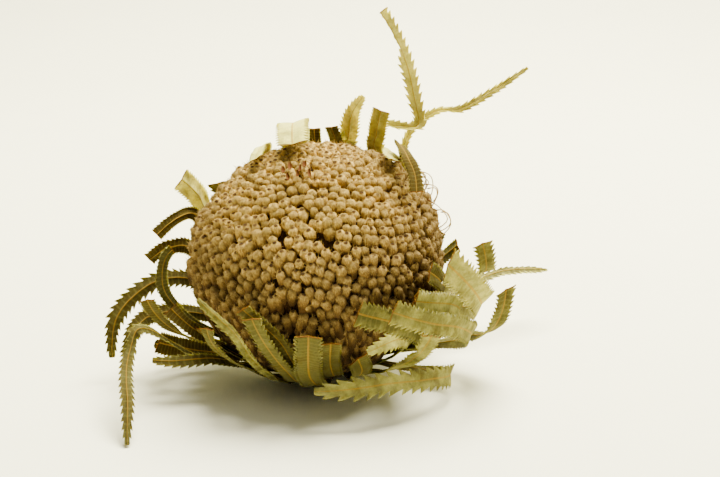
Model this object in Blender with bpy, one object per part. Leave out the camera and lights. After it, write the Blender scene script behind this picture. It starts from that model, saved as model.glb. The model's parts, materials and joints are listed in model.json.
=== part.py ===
"""Dried banksia flower head with a whorl of trimmed, saw-edged leaves round the stub of its stem.

Front faces -Y and up is +Z. The head leans towards the front, and the whole rests on the fused leaf bases.
Run it with: blender --background --python part.py
"""

import math
import random
from typing import NamedTuple

import bmesh
import bpy
from mathutils import Matrix, Vector

MM = 0.001

# The head: a furry ball of closed buds in spiral rows. Everything else is placed from its centre and axis.
HEAD_RADIUS = 37.4 * MM
HEAD_CENTRE = Vector((0.0, 0.0, 35.6)) * MM
HEAD_AXIS = Vector((-0.125, -0.359, 0.925)).normalized()

# Its profile: millimetres from the centre at each climb in degrees from the stem. It narrows to its base.
HEAD_PROFILE = (
    (0.0, 32.0), (20.0, 32.0), (40.0, 32.0), (65.0, 33.8), (90.0, 37.2), (112.0, 39.1), (130.0, 38.3),
    (150.0, 36.9), (180.0, 36.3))

# What lies near the head follows that profile, and what sticks out past this reach no longer does.
FREE_REACH = 54.0 * MM
NEAR_REACH = 42.0 * MM
BUD_COUNT = 760
BUD_RISE = 1.0 * MM
BUD_SINK = 0.9 * MM
BUD_LEAN_DEG = 2.6
MISSING_BUD_SINK = 2.6 * MM
MISSING_BUD_REACH_DEG = 4.6
MISSING_BUDS = ((-14.0, 96.0), (-13.0, 89.0), (6.0, 122.0), (-17.0, 119.0))
GOLDEN_ANGLE = math.pi * (3.0 - math.sqrt(5.0))
SMOOTH_BELOW_CLIMB = 38.0
SMOOTH_RADIUS = 37.0 * MM

# The leaf bases fuse into a ribbed cup under the head. Its lowest place is ground flat by the table.
CUP_INNER = 37.7 * MM
CUP_OUTER = 41.9 * MM
CUP_RIM_THICKNESS = 2.2 * MM
CUP_HOLE_CLIMB = 7.6
CUP_RIM_CLIMB = 33.0
CUP_LOBES = 22
CUP_LOBE_CLIMB = 1.6
CUP_RIB = 0.6 * MM
CUP_RINGS = 4

# The stem is cut short just under the head, with a slanting saw cut.
STEM_RADIUS = 4.0 * MM
STEM_TOP = 32.0 * MM
STEM_END = 36.7 * MM
STEM_SIDES = 14
STEM_CUT_SLANT_DEG = 8.0

# Every leaf springs from the cup's rim, in an inner or an outer tier.
LEAF_THICKNESS = 0.7 * MM
INNER = 39.3
OUTER = 41.0
TOOTH_PITCH = 4.0 * MM
TOOTH_DEPTH = 0.34
TOOTH_LEAN = 0.3
BASE_WIDTH = 3.3 * MM
WIDENS_OVER = 0.42
POINT_WIDTH = 1.2 * MM
POINT_OVER = 0.16
BASE_PLAIN_SHARE = 0.4
PLAIN_STEP = 2
FOLDS_OVER = 0.3
CURVE_STEPS = 12
SHADE_SEED = 11
FOLD_DEG = 11.0


class Leaf(NamedTuple):
    """One leaf: its width in mm, how it ends, and its midrib from the base to the tip.

    A midrib point is (bearing, climb, reach, roll): degrees round the head's axis from the front towards
    the right, degrees up from the stem, millimetres from the head's centre, and the blade's turn about its
    midrib.
    """

    name: str
    width: float
    end: str
    midrib: tuple
    fold: float = FOLD_DEG


LEAVES = (
    Leaf("leaf_front_wide", 8.3, "cut", (
        (-3, 36, OUTER, 0), (-4, 60, 42.2, 0), (-4, 78, 43, 0), (0, 104, 46.8, 0))),
    Leaf("leaf_front_left", 6.3, "cut", (
        (-15, 36, OUTER, 0), (-15, 58, 41.3, 0), (-14, 77, 41.7, 0), (-16, 93, 43.2, 0),
        (-20, 110, 46.5, 0))),
    Leaf("leaf_front_behind", 5.5, "cut", (
        (-9, 36, INNER, 0), (-10, 60, 39.6, 0), (-11, 83, 39.9, 0), (-13, 96, 40.4, 0),
        (-19, 105, 41.4, 0), (-25, 112, 44.5, 0))),
    Leaf("leaf_front_folded", 4.6, "point", (
        (-26, 36, OUTER, 0), (-26, 58, 41.5, 0), (-25, 75, 41.7, 0), (-28, 98, 43.8, 0),
        (-34, 107, 46.5, 0), (-42, 112, 49, 0)), 30.0),
    Leaf("leaf_front_slanted", 6.3, "slant", (
        (-36, 36, OUTER, 0), (-37, 60, 41.8, 0), (-39, 74, 42.4, 0), (-42, 90, 44.6, 0),
        (-41, 100, 46, 0))),
    Leaf("leaf_front_small", 6.4, "cut", ((5, 36, INNER, 0), (5, 77, 40, 0), (7, 97, 43, 0))),
    Leaf("leaf_front_short", 6.6, "slant", ((18, 36, OUTER, 0), (19, 65, 41.8, 0), (16, 87, 44, 0))),
    Leaf("leaf_floor_long", 7.4, "point", (
        (45, 36, OUTER, 0), (53, 48, 46, 0), (56, 58, 52, 20), (48, 66, 53, 42), (38, 72, 52, 48),
        (22, 80, 51.3, 50), (-1, 84, 51, 50))),
    Leaf("leaf_right_pale", 5.6, "point", (
        (34, 36, INNER, 0), (42, 60, 40.8, 0), (44, 74, 41.6, 10), (33, 88, 43.6, 35),
        (19, 92, 46.6, 45))),
    Leaf("leaf_right_torn", 6.5, "cut", (
        (30, 36, OUTER, 0), (36, 60, 43.5, -15), (40, 74, 46, -35), (43, 88, 49, -35))),
    Leaf("leaf_right_long", 7.8, "cut", (
        (62, 36, OUTER, 0), (68, 54, 46, 0), (67, 68, 51.5, 0), (54, 85, 52, 0), (42, 95, 50.5, 0),
        (30, 105, 48, 0))),
    Leaf("leaf_right_under", 8.2, "cut", (
        (51, 36, INNER, 0), (54, 60, 41.5, 0), (47, 80, 44, 0), (33, 97, 44.6, 0), (19, 107, 43, 0))),
    Leaf("leaf_right_dark", 6.0, "cut", (
        (63, 36, INNER, 0), (61, 80, 40.2, 0), (52, 92, 41.2, 0), (45, 101, 41.8, 0))),
    Leaf("leaf_right_crinkled", 6.5, "cut", (
        (74, 36, INNER, 0), (72, 80, 40.6, 0), (63, 95, 41.8, 0), (54, 107, 43.2, 0))),
    Leaf("leaf_right_middle", 6.8, "cut", (
        (73, 36, OUTER, 0), (74, 57, 43.6, 0), (69, 76, 46.8, 0), (58, 90, 46.6, 0), (41, 103, 46, 0))),
    Leaf("leaf_right_broad", 10.4, "slant", (
        (89, 36, INNER, 0), (89, 56, 43, 0), (80, 72, 50.6, -15), (68, 86, 52, -30),
        (56, 109, 50.5, -35))),
    Leaf("leaf_right_upright", 6.8, "cut", (
        (100, 36, OUTER, 0), (102, 58, 44.5, -10), (95, 74, 50, -50), (86, 84, 51.5, -65),
        (84, 97, 51, -70))),
    Leaf("leaf_right_outer", 6.3, "slant", (
        (84, 36, OUTER, 0), (85, 50, 47.5, 0), (79, 61, 55, -30), (76, 72, 57.5, -60),
        (77, 84, 58, -60))),
    Leaf("leaf_left_pale", 8.0, "cut", (
        (-128, 36, OUTER, 0), (-127, 80, 43, 0), (-123, 104, 43.6, 0), (-120, 112, 45.6, 0),
        (-116, 118, 49.8, 0))),
    Leaf("leaf_left_edge", 4.5, "cut", (
        (-128, 36, INNER, 0), (-126, 66, 40.2, 0), (-120, 92, 40.8, 0), (-114, 106, 42, 0),
        (-101, 112, 44.5, 30), (-92, 109, 49.5, 60))),
    Leaf("leaf_left_dark", 5.5, "cut", (
        (-117, 36, INNER, 0), (-114, 66, 40.6, 0), (-107, 92, 42, -8), (-101, 97, 47, -22),
        (-98, 93, 54, -30))),
    Leaf("leaf_left_curled", 4.4, "cut", (
        (-72, 36, INNER, 0), (-74, 64, 41.5, 0), (-77, 84, 45.5, -35), (-79, 96, 47.5, -65),
        (-83, 105, 46, -60), (-86, 108, 43.4, -45))),
    Leaf("leaf_left_long", 6.6, "point", (
        (-106, 36, INNER, 0), (-104, 64, 40.5, 0), (-98, 82, 42.5, 0), (-92, 89, 49, -10),
        (-86, 88.5, 57.5, 5), (-80, 85.5, 64.5, 40), (-75, 78, 69.5, 55))),
    Leaf("leaf_left_forked", 6.0, "cut", (
        (-102, 36, OUTER, 0), (-99, 58, 44.5, 0), (-92, 73, 50, -15), (-84, 80.5, 55.5, -5),
        (-78, 81, 60.5, 25), (-75, 77, 64.5, 50))),
    Leaf("leaf_left_short", 6.5, "slant", (
        (-80, 36, OUTER, 0), (-81, 58, 46.6, 0), (-82, 76, 51.5, 60), (-78, 92, 53, 60))),
    Leaf("leaf_left_low", 6.6, "point", (
        (-91, 36, OUTER, 0), (-87, 50, 46, -15), (-84, 60, 52, -35), (-84, 70, 59, -45))),
    Leaf("leaf_left_comb", 7.2, "cut", (
        (-69, 36, OUTER, 0), (-69, 56, 43.6, -6), (-71, 70, 49, -40), (-70, 80, 54, -55))),
    Leaf("leaf_left_floor", 6.0, "point", (
        (-47, 36, OUTER, 0), (-50, 56, 41.8, 0), (-51, 70, 43.4, -10), (-53, 78, 47.5, -25),
        (-59, 84, 58.5, -35))),
    Leaf("leaf_left_hanging", 4.8, "point", (
        (-58, 36, OUTER, 0), (-60, 60, 44.6, 0), (-67, 82, 51.5, 0), (-66, 91, 58, 5),
        (-60, 89, 64, 45), (-46, 89, 74, 60), (-39, 86, 83.6, 62))),
    Leaf("leaf_left_inner", 7.0, "cut", (
        (-60, 36, INNER, 0), (-60, 70, 41, 0), (-64, 84, 44, -35), (-70, 92, 47, -55))),
    Leaf("leaf_left_hidden", 6.0, "cut", ((-48, 36, INNER, 0), (-49, 76, 40.8, 0), (-52, 92, 43.5, 0))),
    Leaf("leaf_top_pale", 10.0, "cut", (
        (-170, 36, INNER, 0), (-171, 100, 41.4, 0), (-172, 120, 42.8, 0), (-173, 140, 44.4, 0),
        (-171, 156, 43.2, 0), (-166, 167, 40.8, 0))),
    Leaf("leaf_top_left", 5.0, "cut", (
        (-150, 36, INNER, 0), (-156, 108, 41.2, 0), (-153, 132, 40.4, 0), (-138, 149, 40, 0),
        (-118, 157, 40, 0))),
    Leaf("leaf_top_stub", 4.5, "cut", ((180, 36, OUTER, 0), (180, 100, 44.5, 0), (179, 117, 47.5, 0))),
    Leaf("leaf_top_short", 5.0, "cut", ((169, 36, INNER, 0), (169, 104, 42, 0), (171, 119, 46.8, 0))),
    Leaf("leaf_top_comb", 7.0, "point", (
        (164, 36, OUTER, 0), (166, 104, 44, 0), (165, 112, 46.5, 0), (162, 121, 51.5, 0),
        (158, 123, 57.5, 0))),
    Leaf("leaf_top_stump", 6.5, "cut", (
        (151, 36, INNER, 0), (152, 104, 42, 0), (151, 116, 47, 0), (148, 124, 53, 0))),
    Leaf("leaf_top_small", 4.4, "cut", (
        (127, 36, INNER, 0), (130, 90, 39.9, 0), (134, 112, 39.9, 0), (128, 128, 40.2, 0),
        (114, 138, 40.6, 0), (103, 138, 41.4, 0))),
    Leaf("leaf_top_brown", 4.6, "cut", (
        (134, 36, OUTER, 0), (134, 80, 42.2, 0), (136, 104, 42.4, 0), (131, 121, 43.2, 0),
        (118, 133, 44.2, 0), (101, 136, 45, 20), (88, 133, 44.4, 45), (78, 130, 43.2, 50))),
    Leaf("leaf_top_long", 5.6, "cut", (
        (153, 36, OUTER, 0), (154, 75, 45.5, 0), (156, 104, 50.5, 0), (152, 114, 52.5, 0),
        (144, 115, 53, 0), (135, 117, 55, 10), (137, 124, 60.5, 42), (139, 134, 69, 50),
        (142, 146, 79, 55))),
    Leaf("leaf_top_thin", 3.2, "point", (
        (140, 36, INNER, 0), (141, 80, 43, 0), (146, 97, 50, 0), (145, 106, 55.2, 0),
        (139.5, 112, 59, 0), (133, 115, 63, 0), (127, 114.5, 67, 0), (121, 116, 77, 0), (116, 118, 88, 0))),
    Leaf("leaf_back_long", 5.5, "point", (
        (111, 36, OUTER, 0), (114, 45, 46, 0), (118, 55, 58, 0), (120, 61, 74, 0), (120, 62, 95, 0))),
    Leaf("leaf_back_left", 6.8, "cut", ((-160, 36, OUTER, 0), (-159, 86, 44, 0), (-156, 100, 48, 0))),
    Leaf("leaf_back_low", 6.4, "slant", ((-139, 36, OUTER, 0), (-139, 88, 43.5, 0), (-136, 104, 47, 0))),
    Leaf("leaf_back_short", 6.0, "cut", ((106, 36, INNER, 0), (105, 70, 41, 0), (102, 84, 45, 0))),
    Leaf("leaf_back_trimmed", 6.2, "cut", ((122, 36, OUTER, 0), (120, 62, 42.6, 0), (121, 79, 46, 0))),
)


def eased(before, start, stop, after, t):
    """The value a share t of the way from start to stop, on a smooth curve that heeds their neighbours."""
    slope = stop - before
    bend = 2.0 * before - 5.0 * start + 4.0 * stop - after
    turn = 3.0 * start - 3.0 * stop + after - before
    return 0.5 * (2.0 * start + slope * t + bend * t ** 2 + turn * t ** 3)


def through(points):
    """A smooth curve through the control rows, each a tuple of numbers, as evenly dense rows."""
    rows = []
    ends = [points[0], *points, points[-1]]
    for before, start, stop, after in zip(ends, ends[1:], ends[2:], ends[3:]):
        for step in range(CURVE_STEPS):
            t = step / CURVE_STEPS
            rows.append(tuple(eased(a, b, c, d, t) for a, b, c, d in zip(before, start, stop, after)))
    rows.append(tuple(points[-1]))
    return rows


PROFILE_CURVE = through(HEAD_PROFILE)


def swell(climb):
    """How far the head stands out of a true ball at this climb. It is negative near the stem."""
    for (low, near), (high, far) in zip(PROFILE_CURVE, PROFILE_CURVE[1:]):
        if climb <= high:
            return (near + (far - near) * max(0.0, climb - low) / (high - low)) * MM - HEAD_RADIUS
    return PROFILE_CURVE[-1][1] * MM - HEAD_RADIUS


def around(bearing, climb, reach):
    """The world point at this bearing round the head's axis and climb from the stem.

    Its reach is the distance from the centre, as if the head were a true ball.
    """
    near = min(1.0, max(0.0, (FREE_REACH - reach) / (FREE_REACH - NEAR_REACH)))
    reach += swell(climb) * near
    right = (Vector((1.0, 0.0, 0.0)) - HEAD_AXIS * HEAD_AXIS.x).normalized()
    front = right.cross(HEAD_AXIS)
    turn = math.radians(bearing)
    rise = math.radians(climb)
    level = right * math.sin(turn) + front * math.cos(turn)
    return HEAD_CENTRE + reach * (math.sin(rise) * level - math.cos(rise) * HEAD_AXIS)


def material(name, colour, roughness):
    made = bpy.data.materials.new(name)
    made.use_nodes = True
    shader = made.node_tree.nodes["Principled BSDF"]
    shader.inputs["Base Color"].default_value = (*colour, 1.0)
    shader.inputs["Roughness"].default_value = roughness
    shader.inputs["Metallic"].default_value = 0.0
    made.diffuse_color = (*colour, 1.0)
    return made


def add_object(name, work, colour, roughness, smooth_angle):
    """Turns a finished bmesh into a named object with its own material, its faces looking outwards."""
    bmesh.ops.recalc_face_normals(work, faces=work.faces)
    if work.calc_volume(signed=True) < 0.0:
        bmesh.ops.reverse_faces(work, faces=work.faces)
    mesh = bpy.data.meshes.new(name)
    work.to_mesh(mesh)
    work.free()
    mesh.shade_smooth()
    mesh.set_sharp_from_angle(angle=math.radians(smooth_angle))
    mesh.materials.append(material(name + "_surface", colour, roughness))
    made = bpy.data.objects.new(name, mesh)
    bpy.context.collection.objects.link(made)
    return made


def bud_directions():
    """Bud centres as unit (x, y, z) in the head's own frame, z along its axis, in sunflower order."""
    found = []
    for index in range(BUD_COUNT):
        height = 1.0 - 2.0 * (index + 0.5) / BUD_COUNT
        level = math.sqrt(1.0 - height * height)
        turn = index * GOLDEN_ANGLE
        found.append(Vector((level * math.cos(turn), level * math.sin(turn), height)))
    return found


def head_frame():
    """The turn from the head's own frame, x right and z along its axis, into the world."""
    right = (Vector((1.0, 0.0, 0.0)) - HEAD_AXIS * HEAD_AXIS.x).normalized()
    back = HEAD_AXIS.cross(right)
    return Matrix((right, back, HEAD_AXIS)).transposed()


def head_point(direction, lift):
    """A point on the head's surface in this direction of its own frame, raised or sunk by lift."""
    climb = math.degrees(math.acos(max(-1.0, min(1.0, -direction.z))))
    share = min(1.0, max(0.0, (climb - SMOOTH_BELOW_CLIMB) / 6.0))
    return direction * (swell(climb) + SMOOTH_RADIUS + share * (HEAD_RADIUS + lift - SMOOTH_RADIUS))


def missing_bud(direction):
    """True where a bud has fallen out, near one of the named places."""
    for bearing, climb in MISSING_BUDS:
        turn = math.radians(bearing)
        rise = math.radians(climb)
        level = math.sin(rise)
        spot = Vector((level * math.sin(turn), -level * math.cos(turn), -math.cos(rise)))
        if direction.angle(spot) < math.radians(MISSING_BUD_REACH_DEG):
            return True
    return False


def make_head():
    """Raises one blunt bud from each cell of the sunflower lattice, leaning towards the apex."""
    directions = bud_directions()
    net = bmesh.new()
    cells = [net.verts.new(direction) for direction in directions]
    net.verts.ensure_lookup_table()
    bmesh.ops.convex_hull(net, input=net.verts)
    net.verts.index_update()
    net.faces.index_update()
    net.edges.ensure_lookup_table()

    frame = head_frame()
    work = bmesh.new()
    peaks = []
    for direction in directions:
        lift = -MISSING_BUD_SINK if missing_bud(direction) else BUD_RISE
        lean = math.radians(BUD_LEAN_DEG) * math.sqrt(max(0.0, 1.0 - direction.z ** 2))
        leant = (direction + Vector((0.0, 0.0, lean))).normalized()
        peaks.append(work.verts.new(frame @ head_point(leant, lift) + HEAD_CENTRE))
    valleys = []
    for face in net.faces:
        direction = face.calc_center_median().normalized()
        valleys.append(work.verts.new(frame @ head_point(direction, -BUD_SINK) + HEAD_CENTRE))
    for edge in net.edges:
        first, second = (valleys[face.index] for face in edge.link_faces)
        low, high = (peaks[vert.index] for vert in edge.verts)
        for peak in (low, high):
            work.faces.new((peak, first, second))
    net.free()
    return add_object("flower_head", work, (0.52, 0.34, 0.15), 0.9, 25.0)


def make_cup():
    """The fused leaf bases: a ribbed, lobed cup between the head and the table, flat where it rests."""
    work = bmesh.new()
    sides = CUP_LOBES * 2
    rings = []
    for layer in range(CUP_RINGS + 1):
        share = layer / CUP_RINGS
        inner, outer = [], []
        for side in range(sides):
            bearing = 360.0 * side / sides
            rib = 1.0 if side % 2 == 0 else -1.0
            climb = CUP_HOLE_CLIMB + share * (CUP_RIM_CLIMB + rib * CUP_LOBE_CLIMB - CUP_HOLE_CLIMB)
            thin = (CUP_OUTER - CUP_INNER - CUP_RIM_THICKNESS) * share ** 4
            inner.append(work.verts.new(around(bearing, climb, CUP_INNER)))
            outer.append(work.verts.new(around(bearing, climb, CUP_OUTER - thin + rib * CUP_RIB * share)))
        rings.append((inner, outer))
    for side in range(sides):
        following = (side + 1) % sides
        for (inner, outer), (next_inner, next_outer) in zip(rings, rings[1:]):
            work.faces.new((inner[side], next_inner[side], next_inner[following], inner[following]))
            work.faces.new((outer[side], outer[following], next_outer[following], next_outer[side]))
        for inner, outer in (rings[0], rings[-1]):
            work.faces.new((inner[side], inner[following], outer[following], outer[side]))
    bmesh.ops.recalc_face_normals(work, faces=work.faces)
    bmesh.ops.triangulate(work, faces=work.faces)
    everything = work.verts[:] + work.edges[:] + work.faces[:]
    cut = bmesh.ops.bisect_plane(
        work, geom=everything, plane_no=(0.0, 0.0, -1.0), clear_outer=True, dist=1e-7)
    rim = [part for part in cut["geom_cut"] if isinstance(part, bmesh.types.BMEdge)]
    bmesh.ops.holes_fill(work, edges=rim, sides=0)
    return add_object("leaf_bases", work, (0.24, 0.17, 0.07), 0.85, 40.0)


def make_stem():
    """The stub of woody stem in the middle of the cup, sawn off at a slant."""
    work = bmesh.new()
    length = STEM_END - STEM_TOP
    bmesh.ops.create_cone(
        work, cap_ends=True, segments=STEM_SIDES, radius1=STEM_RADIUS, radius2=STEM_RADIUS, depth=length)
    slant = math.tan(math.radians(STEM_CUT_SLANT_DEG))
    for vert in work.verts:
        if vert.co.z < 0.0:
            vert.co.z -= slant * vert.co.y
    place = Matrix.Translation(HEAD_CENTRE - HEAD_AXIS * (STEM_TOP + length / 2.0)) @ head_frame().to_4x4()
    bmesh.ops.transform(work, matrix=place, verts=work.verts)
    return add_object("stem_stub", work, (0.20, 0.12, 0.06), 0.85, 40.0)


def facing_out(place, forward):
    """The side of a blade that looks away from the head, square to its midrib, also where it sticks out."""
    outward = (place - HEAD_CENTRE).normalized()
    level = (outward - HEAD_AXIS * outward.dot(HEAD_AXIS)).normalized()
    steep = forward.dot(outward) ** 2
    flat = outward - forward * forward.dot(outward)
    bent = level * forward.dot(HEAD_AXIS) - HEAD_AXIS * forward.dot(level)
    facing = flat + bent * steep
    return (facing - forward * facing.dot(forward)).normalized()


def midrib_stations(leaf, shares):
    """The leaf's length, and (place, forward, facing) on its midrib at each share of that length."""
    rows = through(leaf.midrib)
    places = [around(bearing, climb, reach * MM) for bearing, climb, reach, _ in rows]
    run = [0.0]
    for start, stop in zip(places, places[1:]):
        run.append(run[-1] + (stop - start).length)
    found = []
    for share in shares:
        distance = share * run[-1]
        index = max(i for i in range(len(run) - 1) if run[i] <= distance + 1e-9)
        part_way = (distance - run[index]) / (run[index + 1] - run[index])
        place = places[index].lerp(places[index + 1], part_way)
        forward = (places[min(len(places) - 1, index + 2)] - places[max(0, index - 1)]).normalized()
        roll = math.radians(rows[index][3] + part_way * (rows[index + 1][3] - rows[index][3]))
        found.append((place, forward, Matrix.Rotation(roll, 3, forward) @ facing_out(place, forward)))
    return run[-1], found


def half_width(leaf, share):
    """Half the blade's width at this share of the way from its base to its tip."""
    full = leaf.width * MM / 2.0
    rise = min(1.0, share / WIDENS_OVER)
    wide = BASE_WIDTH / 2.0 + (full - BASE_WIDTH / 2.0) * rise * rise * (3.0 - 2.0 * rise)
    if leaf.end == "point" and share > 1.0 - POINT_OVER:
        left = (1.0 - share) / POINT_OVER
        wide = POINT_WIDTH / 2.0 + (wide - POINT_WIDTH / 2.0) * math.sqrt(max(0.0, left))
    return wide


def make_leaf(leaf, colour):
    """A creased blade of even thickness: a midrib row, and edges that run from notch to tooth to notch."""
    length, _ = midrib_stations(leaf, (0.0,))
    count = max(4, round(length / TOOTH_PITCH))
    plain = max(1, round(count * BASE_PLAIN_SHARE))
    smooth_run = [index / count for index in range(0, plain, PLAIN_STEP)]
    shares = smooth_run + [index / count for index in range(plain, count + 1)]
    halves = {a: (a + b) / 2.0 for a, b in zip(shares, shares[1:]) if a not in smooth_run}
    every = shares + list(halves.values())
    at = dict(zip(every, midrib_stations(leaf, every)[1]))
    work = bmesh.new()

    def pair(place, facing):
        return tuple(work.verts.new(place + facing * side * LEAF_THICKNESS / 2.0) for side in (1.0, -1.0))

    def edge_point(share, side, wide, ahead):
        place, forward, facing = at[share]
        across = forward.cross(facing)
        fold = math.tan(math.radians(leaf.fold)) * min(1.0, share / FOLDS_OVER)
        return pair(place + across * side * wide + facing * fold * wide + forward * ahead, facing)

    ribs = []
    notches = {-1.0: [], 1.0: []}
    for share in shares:
        last = share == shares[-1]
        ribs.append(pair(at[share][0], at[share][2]))
        for side in (-1.0, 1.0):
            wide = half_width(leaf, share)
            notched = wide if share in smooth_run or last else wide * (1.0 - TOOTH_DEPTH)
            ahead = side * wide * 0.55 if last and leaf.end == "slant" else 0.0
            notches[side].append(edge_point(share, side, notched, ahead))
    lean = TOOTH_LEAN * length / count
    teeth = {-1.0: [], 1.0: []}
    for share in shares[:-1]:
        for side in (-1.0, 1.0):
            half = halves.get(share)
            teeth[side].append(half and edge_point(half, side, half_width(leaf, half), lean))

    def face(corners, flip):
        work.faces.new(corners[::-1] if flip else corners)

    for side in (-1.0, 1.0):
        for index in range(len(shares) - 1):
            rib, next_rib = ribs[index], ribs[index + 1]
            notch, next_notch = notches[side][index], notches[side][index + 1]
            tooth = teeth[side][index]
            for layer in (0, 1):
                flip = (side > 0.0) != (layer == 1)
                if tooth is None:
                    face([rib[layer], next_rib[layer], next_notch[layer]], flip)
                    face([rib[layer], next_notch[layer], notch[layer]], flip)
                else:
                    face([tooth[layer], notch[layer], rib[layer]], flip)
                    face([tooth[layer], rib[layer], next_rib[layer]], flip)
                    face([tooth[layer], next_rib[layer], next_notch[layer]], flip)
            rim = [notch, next_notch] if tooth is None else [notch, tooth, next_notch]
            for start, stop in zip(rim, rim[1:]):
                face([start[0], stop[0], stop[1]], side < 0.0)
                face([start[0], stop[1], start[1]], side < 0.0)
        for index, backward in ((0, False), (-1, True)):
            rib, notch = ribs[index], notches[side][index]
            flip = (side > 0.0) == backward
            face([rib[0], notch[0], notch[1]], flip)
            face([rib[0], notch[1], rib[1]], flip)
    return add_object(leaf.name, work, colour, 0.75, 30.0)


def build():
    for old in list(bpy.data.objects):
        bpy.data.objects.remove(old, do_unlink=True)
    draw = random.Random(SHADE_SEED)
    parts = [make_head(), make_cup(), make_stem()]
    for leaf in LEAVES:
        shade = draw.uniform(0.75, 1.1)
        parts.append(make_leaf(leaf, (0.36 * shade, 0.34 * shade, 0.13 * shade)))
    bpy.context.view_layer.update()
    corners = [vert.co for part in parts for vert in part.data.vertices]
    low = [min(corner[axis] for corner in corners) for axis in range(3)]
    high = [max(corner[axis] for corner in corners) for axis in range(3)]
    centre = Vector(((low[0] + high[0]) / 2.0, (low[1] + high[1]) / 2.0, low[2]))
    whole = bpy.data.objects.new("banksia_cone", None)
    bpy.context.collection.objects.link(whole)
    whole.location = -centre
    for part in parts:
        part.parent = whole
    print("parts", len(parts), "size mm", [round((high[axis] - low[axis]) / MM, 1) for axis in range(3)])
    print("shift mm", [round(value / MM, 2) for value in whole.location])


build()
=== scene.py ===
# %% [markdown]
# # A dried banksia flower head
#
# The real object is a flower head that was picked and dried before it opened. Some 1,700 closed, furry buds
# stand in spiral rows on a woody core. A whorl of stiff, saw-edged leaves springs from under it, most of them
# trimmed short with scissors, and a stub of the stem sits in the middle beneath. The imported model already
# has every piece at its real place and size, with teeth and buds larger than life. This script builds the
# fine version of each piece on the same midribs and the same profile.

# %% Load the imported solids
import json
import math
import random
from typing import NamedTuple

import bpy
import numpy as np
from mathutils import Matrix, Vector


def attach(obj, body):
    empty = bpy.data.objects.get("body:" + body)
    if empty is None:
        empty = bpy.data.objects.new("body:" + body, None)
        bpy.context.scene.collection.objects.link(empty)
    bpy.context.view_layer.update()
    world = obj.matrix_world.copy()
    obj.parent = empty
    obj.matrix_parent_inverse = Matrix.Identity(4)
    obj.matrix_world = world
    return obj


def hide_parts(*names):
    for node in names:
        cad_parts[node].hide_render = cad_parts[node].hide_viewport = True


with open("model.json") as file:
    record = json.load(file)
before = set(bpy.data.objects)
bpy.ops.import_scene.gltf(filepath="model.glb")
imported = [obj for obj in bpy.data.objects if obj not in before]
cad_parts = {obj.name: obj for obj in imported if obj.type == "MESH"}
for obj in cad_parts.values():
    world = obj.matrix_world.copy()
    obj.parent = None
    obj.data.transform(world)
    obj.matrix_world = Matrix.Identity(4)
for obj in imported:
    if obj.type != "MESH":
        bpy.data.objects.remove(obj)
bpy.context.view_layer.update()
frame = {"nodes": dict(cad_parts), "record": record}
MM = 0.001
print("solids loaded:", len(frame["nodes"]))

# %% [markdown]
# Everything on the cone is placed from the head, so the script first needs the head's own directions: its
# centre, its leaning axis, and how far it swells or narrows at each climb from the stem. The centre comes
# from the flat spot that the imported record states. The rest repeats the source's driving dimensions.

# %% The head's centre, axis and profile
RESTING_SPOT = np.array(frame["record"]["mounts"][0]["pos_m"])
CENTRE_HEIGHT = 35.6
HEAD_CENTRE = RESTING_SPOT + np.array((0.0, 0.0, CENTRE_HEIGHT)) * MM
AXIS = np.array((-0.125, -0.359, 0.925))
AXIS /= np.linalg.norm(AXIS)
RIGHT = np.array((1.0, 0.0, 0.0)) - AXIS * AXIS[0]
RIGHT /= np.linalg.norm(RIGHT)
FRONT = np.cross(RIGHT, AXIS)

# The profile gives the radius in mm at each climb in degrees from the stem. A piece nearer than NEAR_REACH
# follows it in full, and one beyond FREE_REACH not at all.
HEAD_RADIUS = 37.4
HEAD_PROFILE = (
    (0.0, 32.0), (20.0, 32.0), (40.0, 32.0), (65.0, 33.8), (90.0, 37.2), (112.0, 39.1), (130.0, 38.3),
    (150.0, 36.9), (180.0, 36.3))
FREE_REACH = 54.0
NEAR_REACH = 42.0
CURVE_STEPS = 12


def through(points):
    """A smooth curve through the control rows, each a tuple of numbers, as an array of evenly dense rows."""
    ends = np.array([points[0], *points, points[-1]], float)
    rows = []
    for before, start, stop, after in zip(ends, ends[1:], ends[2:], ends[3:]):
        for step in range(CURVE_STEPS):
            t = step / CURVE_STEPS
            bend = 2.0 * before - 5.0 * start + 4.0 * stop - after
            turn = 3.0 * start - 3.0 * stop + after - before
            rows.append(0.5 * (2.0 * start + (stop - before) * t + bend * t ** 2 + turn * t ** 3))
    rows.append(ends[-1])
    return np.array(rows)


def unit(rows):
    return rows / np.linalg.norm(rows, axis=-1, keepdims=True)


PROFILE_CURVE = through(HEAD_PROFILE)


def swell(climb):
    """Millimetres by which the head stands out of a true ball at this climb."""
    return np.interp(climb, PROFILE_CURVE[:, 0], PROFILE_CURVE[:, 1]) - HEAD_RADIUS


def outward(bearing, climb):
    """Unit directions from the head's centre at these bearings and climbs, both in degrees."""
    turn, rise = np.radians(bearing), np.radians(climb)
    level = np.multiply.outer(np.sin(turn), RIGHT) + np.multiply.outer(np.cos(turn), FRONT)
    return np.sin(rise)[..., None] * level - np.multiply.outer(np.cos(rise), AXIS)


def around(bearing, climb, reach):
    """Points in metres at these bearings, climbs and reaches in mm, with the reach following the profile."""
    bearing, climb, reach = np.broadcast_arrays(*(np.asarray(v, float) for v in (bearing, climb, reach)))
    near = np.clip((FREE_REACH - reach) / (FREE_REACH - NEAR_REACH), 0.0, 1.0)
    settled = (reach + swell(climb) * near) * MM
    return HEAD_CENTRE + settled[..., None] * outward(bearing, climb)


print("head centre in mm:", np.round(HEAD_CENTRE / MM, 2))

# %% [markdown]
# Each piece below is a grid or a set of grids that numpy works out as one array of points. One helper turns
# such an array into an object. It also stores two things for the materials: a UV map, which says where on
# the leaf or bud a point lies, and a colour attribute called marks, which carries tones and masks.

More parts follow.
